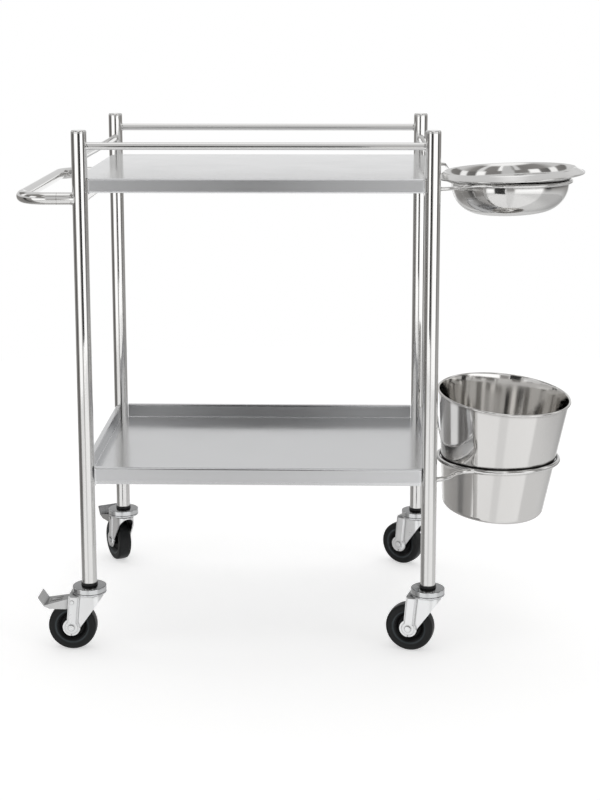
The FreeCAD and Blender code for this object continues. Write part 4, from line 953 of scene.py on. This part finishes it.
def cheek(steps_up, steps_along):
    """Half of a fork's outer skin. At height z the sheet runs from its back edge to its front
    edge, both worked out from the side outline; w places a point between them along the
    sheet, which is flat up to the nose and then goes round it. The rib and boss raise it by
    smooth steps, and above the cheek the skin rolls over the crown's edge and runs in flat."""
    low, high = AXLE_HEIGHT - BOSS, FORK_TOP - CROWN_EDGE
    z = np.r_[np.linspace(low, low + 3, 10), np.linspace(low + 3, high, steps_up)[1:]]
    roll = np.linspace(0, np.pi / 2, 7)[1:]
    run_in = np.linspace(CROWN_EDGE, FORK_HALF, 6)[1:]
    inset = np.r_[0 * z, CROWN_EDGE * (1 - np.cos(roll)), run_in]
    level = np.r_[z, high + CROWN_EDGE * np.sin(roll), np.full(5, FORK_TOP)]
    side_z = np.minimum(level, FORK_TOP)
    round_part = np.sqrt(np.clip(BOSS**2 - (side_z - AXLE_HEIGHT) ** 2, 0, None))
    lean = (CROWN_BACK - (TRAIL + BACK_REACH)) / (FORK_TOP - BACK_FOOT)
    back_line = -(TRAIL + BACK_REACH + lean * (side_z - BACK_FOOT))
    back = np.where(side_z < BACK_FOOT, -TRAIL - round_part, back_line)
    front_run = NOSE_REACH + FORK_HALF + TRAIL - BOSS
    front_rise = FORK_TOP - NOSE_DROP - CHEEK_FOOT
    front_line = -TRAIL + BOSS + (side_z - CHEEK_FOOT) * front_run / front_rise
    front = np.where(side_z < CHEEK_FOOT, -TRAIL + round_part, front_line)
    front = np.minimum(front, NOSE_REACH + FORK_HALF)
    past = np.clip(front - NOSE_REACH, 0, FORK_HALF)
    front_along = np.minimum(front, NOSE_REACH) + FORK_HALF * np.arcsin(past / FORK_HALF)
    w = np.linspace(0, 1, steps_along)
    along = back[:, None] + w * (front_along - back)[:, None]
    round_nose = np.clip(along - NOSE_REACH, 0, None) / FORK_HALF
    reach_out = FORK_HALF - inset[:, None]
    height = level[:, None] + 0 * along
    from_axle = np.hypot(along + TRAIL, height - AXLE_HEIGHT)
    rib_back = RIB_FOOT + RIB_LEAN * (height - AXLE_HEIGHT)
    in_rib = np.minimum(along - rib_back, rib_back + RIB_WIDTH - along)
    in_rib = np.minimum(in_rib, RIB_TOP - height)
    in_rib = np.where(height < AXLE_HEIGHT, -1, in_rib)
    inside = np.maximum(in_rib, BOSS_RAISED - from_axle)
    ramp = np.clip((inside + 0.2) / 1.2, 0, 1)
    raised = RIB_RAISE * ramp**2 * (3 - 2 * ramp)
    in_front = (along > rib_back + RIB_WIDTH / 2) * (height < high)
    groove = np.exp(-(((inside + 2.1) / 1.7) ** 2)) * in_front
    reach_out = reach_out + raised - GROOVE * groove
    x = np.minimum(along, NOSE_REACH) + reach_out * np.sin(round_nose)
    y = reach_out * np.cos(round_nose)
    return np.stack([x, y, height], -1)


# Folds and gaps are darkened, and faces that look up keep 0.4 of the colour: both painted
# shade, the tops standing in for a dark reflection on the crown.
zinc = polished_steel(
    "zinc plate",
    (0.92, 0.925, 0.93),
    (0.26, 0.36),
    EVEN,
    0.00005,
    0.04,
    crevice_shade=CREVICE_SHADE,
    top_shade=0.4,
)
for name in CORNERS:
    skin = cheek(130, 110)
    fork = piece(
        f"{name}_fork_pressing",
        [
            (swivelled(skin[:, ::-1], name), *OPEN),
            (swivelled(skin * [1, -1, 1], name), *OPEN),
        ],
        zinc,
        f"swivel_{name}",
        [f"castor_fork_{name}"],
        60,
    )
    thick = fork.modifiers.new("sheet", "SOLIDIFY")
    thick.thickness = (FORK_SHEET + RIB_RAISE) / 1000
    thick.offset = -1.0
    sheet_weights(fork, name)
    thick.vertex_group = "sheet"
    soft = fork.modifiers.new("worn edge", "BEVEL")
    soft.width = 0.0003
    soft.segments = 2
    soft.limit_method = "ANGLE"
    soft.angle_limit = np.radians(50)


# Axles: a plain pin through each fork with both ends spun over into a low rivet head.
AXLE_RADIUS, HEAD_RADIUS, HEAD_AT, HEAD_RISE = 4.0, 6.0, 17.75, 2.0
RING_IN, RING_RISE = 1.1, 0.35
half_axle = [
    (0, HEAD_AT + HEAD_RISE, 0),
    (HEAD_RADIUS - 0.9, HEAD_AT + HEAD_RISE, 1.0),
    (HEAD_RADIUS - RING_IN, HEAD_AT + RING_RISE, 0.2),
    (HEAD_RADIUS, HEAD_AT + RING_RISE, 0.1),
    (HEAD_RADIUS, HEAD_AT, 0.1),
    (AXLE_RADIUS, HEAD_AT, 0),
]
axle_outline = rounded([(r, -h, c) for r, h, c in half_axle] + half_axle[::-1], closed=False)
axle_at = np.array([-TRAIL, 0, AXLE_HEIGHT])
for name in CORNERS:
    piece(
        f"{name}_axle_rivet",
        [(swivelled(turned(axle_outline, 64, "y") + axle_at, name), *SPUN)],
        zinc,
        f"swivel_{name}",
        [f"axle_{name}"],
    )


# Wheel centres: black nylon, moulded with a rim, a sunk web and a long boss round the
# axle's sleeve.
HUB_RADIUS, HUB_BORE, HUB_BOSS = 24.0, 6.05, 10.0
RIM_HALF, WEB_HALF, BOSS_HALF = 9.3, 4.8, 14.0
WEB_RADIUS, STEP_RADIUS, STEP_HALF = 19.8, 20.6, 7.1
half_hub = [
    (HUB_BORE, BOSS_HALF, 0.3),
    (HUB_BOSS, BOSS_HALF, 0.5),
    (HUB_BOSS, WEB_HALF, 1.2),
    (WEB_RADIUS, WEB_HALF, 1.2),
    (STEP_RADIUS, STEP_HALF, 0.8),
    (HUB_RADIUS, RIM_HALF, 0),
]
hub_outline = rounded(half_hub + [(r, -h, c) for r, h, c in half_hub[::-1]])
nylon = moulded("wheel nylon", (0.004, 0.004, 0.0045), 0.45, 0.0005, 0.00002, 0.2)
for name in CORNERS:
    piece(
        f"{name}_wheel_centre",
        [(swivelled(turned(hub_outline, 96, "y") + axle_at, name), *LOOP)],
        nylon,
        f"wheel_{name}",
        [f"wheel_hub_{name}"],
    )


# Tyres: near-black rubber moulded on the wheel centres, with a flat tread, round shoulders
# and a bevel down to the rim.
TREAD, TYRE_HALF, SHOULDER, TYRE_SIDE, TYRE_BORE = 40.0, 12.0, 5.0, 30.4, 24.05
half_tyre = [
    (TYRE_BORE, RIM_HALF, 0.2),
    (TYRE_SIDE - 1.6, TYRE_HALF, 0.9),
    (TREAD - 0.6, TYRE_HALF, SHOULDER),
    (TREAD, 3.0, 6.0),
]
tyre_outline = rounded(half_tyre + [(r, -h, c) for r, h, c in half_tyre[::-1]], steps=10)
# A painted highlight round each tyre's bevel, where the bevel catches the light.
BEVEL_HIGHLIGHT_RADIUS, BEVEL_HIGHLIGHT_HALF, BEVEL_HIGHLIGHT_GAIN = 0.0295, 0.0028, 11.0
for name in CORNERS:
    axle_middle = swivelled(axle_at, name) / 1000 + LEGS_MIDDLE
    rubber = moulded(
        f"{name} tyre rubber",
        (0.0045, 0.0055, 0.006),
        0.42,
        0.0008,
        0.00003,
        sheen=0.3,
        ring=(axle_middle, BEVEL_HIGHLIGHT_RADIUS, BEVEL_HIGHLIGHT_HALF, BEVEL_HIGHLIGHT_GAIN),
    )
    piece(
        f"{name}_tyre_ring",
        [(swivelled(turned(tyre_outline, 128, "y") + axle_at, name), *LOOP)],
        rubber,
        f"wheel_{name}",
        [f"tyre_{name}"],
    )


# Pieces that stay as they are in the frame and only get a finish: the brake pedals and
# their pins are plated, and the springs, sleeves, stems and races are plain steel.
# Folds are darkened and faces that look up keep 0.4 of the colour: painted shade, the top
# standing in for a dark reflection.
pedal_plate = polished_steel(
    "pedal plating",
    (0.7, 0.7, 0.7),
    (0.1, 0.2),
    EVEN,
    0.0006,
    0.35,
    crevice_shade=0.008,
    top_shade=0.4,
)
plain = polished_steel("plain steel", (0.55, 0.55, 0.55), (0.25, 0.4), EVEN, 0.00005)
for node, finish in (
    [(f"brake_pedal_{end}_left", pedal_plate) for end in ("front", "back")]
    + [(f"pedal_pin_{end}_left", zinc) for end in ("front", "back")]
    + [(f"pedal_spring_{end}_left", plain) for end in ("front", "back")]
    + [(f"axle_sleeve_{name}", plain) for name in CORNERS]
    + [("castor_stems", plain), ("thrust_races", plain)]
):
    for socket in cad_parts[node].material_slots:
        socket.material = finish


# Floor: a wide white paper sheet. A pool of light under and round the trolley is painted into
# its colour and into the glow that metal sees, and its colour is greyer further out, a painted
# falloff of light. Most glossy rays pass through it, to the dim lower part of the room.
FLOOR_RADIUS, FLOOR_GAP = 2.2, 0.0002
PAPER_GLOW, FAR_GLOW, PAINTED_POOL_GLOW = 0.5, 0.85, 0.15
PAPER_CLEAR = 0.7


def grey(level):
    """A grey of one brightness."""
    return (level, level, level, 1)


def kinds_of_ray(tree):
    """1 for a ray from the camera, through glass, or off metal, and 0 for any other."""
    kinds = ("Camera", "Transmission", "Glossy")
    return [add(tree, "LightPath", out=f"Is {kind} Ray") for kind in kinds]


def paper_floor():
    """White paper whose open part reads as plain white, with the trolley's soft shadow."""
    paper, tree, skin = new_material("white paper")
    skin["Roughness"].default_value = 0.9
    skin["Specular IOR Level"].default_value = 0.0
    camera, glass, glossy = kinds_of_ray(tree)
    at = add(tree, "TexCoord", out="Object")
    oval = {"Location": (-0.05, 0.3, 0), "Scale": (1.0, 0.6, 0), "Vector": at}
    spread = add(tree, "Mapping", oval)
    away = add(tree, "VectorMath", {0: spread}, "Value", operation="LENGTH")
    # A painted pool of light: the paper's colour is paler and its glow for glossy rays
    # stronger inside it, and greyer further out.
    painted_pool = mapped(tree, away, 0.75, 1.25, 1, 0, "SMOOTHSTEP")
    tree.links.new(mixed(tree, painted_pool, grey(0.30), grey(0.88)), skin["Base Color"])
    plain = mapped(tree, painted_pool, 0, 1, FAR_GLOW, PAPER_GLOW)
    plain = computed(tree, "MULTIPLY", plain, computed(tree, "MAXIMUM", camera, glass))
    painted_pool_sheen = computed(tree, "MULTIPLY", painted_pool, glossy)
    strength = computed(tree, "MULTIPLY_ADD", painted_pool_sheen, PAINTED_POOL_GLOW, plain)
    glow = add(tree, "Emission", {"Strength": strength})
    both = add(tree, "AddShader", {0: tree.nodes["Principled BSDF"].outputs[0], 1: glow})
    through = computed(tree, "MULTIPLY", glossy, PAPER_CLEAR)
    clear = add(tree, "BsdfTransparent")
    shared = add(tree, "MixShader", {"Fac": through, 1: both, 2: clear})
    tree.links.new(shared, tree.nodes["Material Output"].inputs["Surface"])
    return paper


def stand(name, points, finish):
    """A flat sheet of the stage, from its outline in m."""
    mesh = bpy.data.meshes.new(name)
    mesh.from_pydata([tuple(point) for point in points], [], [tuple(range(len(points)))])
    mesh.materials.append(finish)
    made = bpy.data.objects.new(name, mesh)
    bpy.context.scene.collection.objects.link(made)
    return made


turn = np.linspace(0, 2 * np.pi, 96, endpoint=False)
middle = (np.array(cad_box[0]) + np.array(cad_box[1])) / 2
rim_x, rim_y = middle[0] + FLOOR_RADIUS * np.cos(turn), middle[1] + FLOOR_RADIUS * np.sin(turn)
stand("floor", np.stack([rim_x, rim_y, 0 * turn - FLOOR_GAP], -1).tolist(), paper_floor())


# Room: a white wall behind, two tall soft boxes towards the front, grey sides with a dark
# door frame each, and a soft white ceiling. A black card stands in front, as photographers
# set one, so that bright tubes show a dark line.
HORIZON, CEILING = 0.70, 1.15


def ramp_of(tree, share, stops):
    """Brightness over the compass, where share goes once round it, from stops of (angle in
    degrees clockwise from the front, level). The darker levels are a little warm."""
    node = tree.nodes.new("ShaderNodeValToRGB")
    ramp = node.color_ramp
    while len(ramp.elements) < len(stops):
        ramp.elements.new(0.5)
    for element, (angle, level) in zip(ramp.elements, stops):
        element.position = (angle + 180) / 360
        warm = 0.06 if level < 0.5 else 0
        element.color = (level, level * (1 - warm / 2), level * (1 - warm), 1)
    tree.links.new(share, node.inputs["Fac"])
    return node.outputs["Color"]


def room():
    """The world's brightness by direction: four ramps round the compass, one above the
    other, with an even band over the horizon, blended by height into the ceiling. The
    camera and glass see plain white everywhere, and so do glossy rays that go out low
    behind the trolley."""
    world = bpy.data.worlds.new("studio")
    bpy.context.scene.world = world
    world.use_nodes = True
    tree = world.node_tree
    tree.nodes.clear()
    at = add(tree, "TexCoord", out="Generated")
    x, y, z = (add(tree, "SeparateXYZ", {0: at}, axis) for axis in "XYZ")
    compass = computed(tree, "ARCTAN2", x, computed(tree, "MULTIPLY", y, -1.0))
    share = mapped(tree, compass, -np.pi, np.pi, 0, 1)
    level = ramp_of(tree, share, [
        (-180, 0.72), (-156, 0.72), (-148, 0.30), (-100, 0.26), (-93, 0.04), (-85, 0.04),
        (-78, 0.32), (-62, 0.36), (-57, 1.45), (-15, 1.35), (-12, 0.30), (2, 0.30),
        (5, 1.35), (60, 1.45), (65, 0.40), (70, 0.04), (79, 0.04), (85, 0.28), (148, 0.30),
        (156, 0.72), (180, 0.72),
    ])
    over = ramp_of(tree, share, [
        (-180, 0.75), (-150, 0.75), (-146, 0.20), (-120, 0.25), (-116, 1.10), (-100, 1.10),
        (-96, 0.15), (-74, 0.20), (-70, 1.20), (-50, 1.20), (-46, 0.25), (-18, 0.25),
        (-15, 0.62), (9, 0.62), (12, 0.25), (44, 0.25), (48, 1.20), (66, 1.20), (70, 0.15),
        (92, 0.20), (96, 1.10), (112, 1.10), (116, 0.20), (144, 0.25), (150, 0.75),
        (180, 0.75),
    ])
    low = ramp_of(tree, share, [
        (-180, 0.72), (-156, 0.72), (-148, 0.34), (-100, 0.26), (-93, 0.06), (-85, 0.06),
        (-78, 0.24), (-62, 0.30), (-57, 1.02), (-15, 1.00), (-12, 0.84), (2, 0.84),
        (5, 1.00), (60, 1.04), (64, 0.74), (120, 0.70), (148, 0.50), (156, 0.72),
        (180, 0.72),
    ])
    high = ramp_of(tree, share, [
        (-180, 0.72), (-120, 0.70), (-90, 0.30), (-34, 0.24), (-28, 0.75), (-20, 0.75),
        (-18, 0.24), (-11, 0.62), (8, 0.62), (11, 1.20), (17, 1.20), (20, 0.26), (50, 0.28),
        (56, 0.85), (66, 0.85), (72, 0.24), (90, 0.30), (120, 0.70), (180, 0.72),
    ])
    walls = low
    for bottom, top, above in (
        (-0.40, -0.08, level),
        (0.0, 0.06, grey(HORIZON)),
        (0.25, 0.34, over),
        (0.56, 0.64, high),
        (0.90, 0.97, grey(CEILING)),
    ):
        step = mapped(tree, z, bottom, top, 0, 1, "SMOOTHSTEP")
        walls = mixed(tree, step, walls, above)
    light = add(tree, "Background", {"Color": walls})
    white = add(tree, "Background", {"Color": grey(1)})
    camera, glass, glossy = kinds_of_ray(tree)
    behind = mapped(tree, y, 0.86, 0.93, 0, 1, "SMOOTHSTEP")
    low_down = mapped(tree, z, 0.089, 0.101, 1, 0, "SMOOTHSTEP")
    behind = computed(tree, "MULTIPLY", behind, low_down)
    behind = computed(tree, "MULTIPLY", behind, glossy)
    seen = computed(tree, "MAXIMUM", camera, glass)
    seen = computed(tree, "MAXIMUM", seen, behind)
    sky = add(tree, "MixShader", {"Fac": seen, 1: light, 2: white})
    surface = tree.nodes.new("ShaderNodeOutputWorld").inputs["Surface"]
    tree.links.new(sky, surface)


room()
CARD_LEFT, CARD_RIGHT, CARD_Y, CARD_LOW, CARD_HIGH = -0.315, 0.145, -1.11, 0.33, 0.95
black, _, card_skin = new_material("black card")
card_skin["Base Color"].default_value = grey(0.07)
card_skin["Specular IOR Level"].default_value = 0.0
card_corners = [
    (CARD_LEFT, CARD_Y, CARD_LOW),
    (CARD_RIGHT, CARD_Y, CARD_LOW),
    (CARD_RIGHT, CARD_Y, CARD_HIGH),
    (CARD_LEFT, CARD_Y, CARD_HIGH),
]
card = stand("black_card", LEGS_MIDDLE + np.array(card_corners), black)
for ray in ("camera", "diffuse", "transmission", "shadow", "volume_scatter"):
    setattr(card, f"visible_{ray}", False)


# Camera: at the photograph's place, a little over the upper shelf, right of the middle.
CAMERA_AT, CAMERA_TILT_ROLL_TURN = (0.137, -2.758, 1.050), (80.13, 0.07, 1.5)
view = bpy.data.cameras.new("camera")
view.lens = 72.72
view.sensor_width = 36
view.shift_y = -0.1375
camera = bpy.data.objects.new("camera", view)
camera.location = LEGS_MIDDLE + np.array(CAMERA_AT)
camera.rotation_euler = [np.radians(angle) for angle in CAMERA_TILT_ROLL_TURN]
bpy.context.scene.collection.objects.link(camera)
bpy.context.scene.camera = camera
bpy.context.scene.view_settings.view_transform = "Standard"
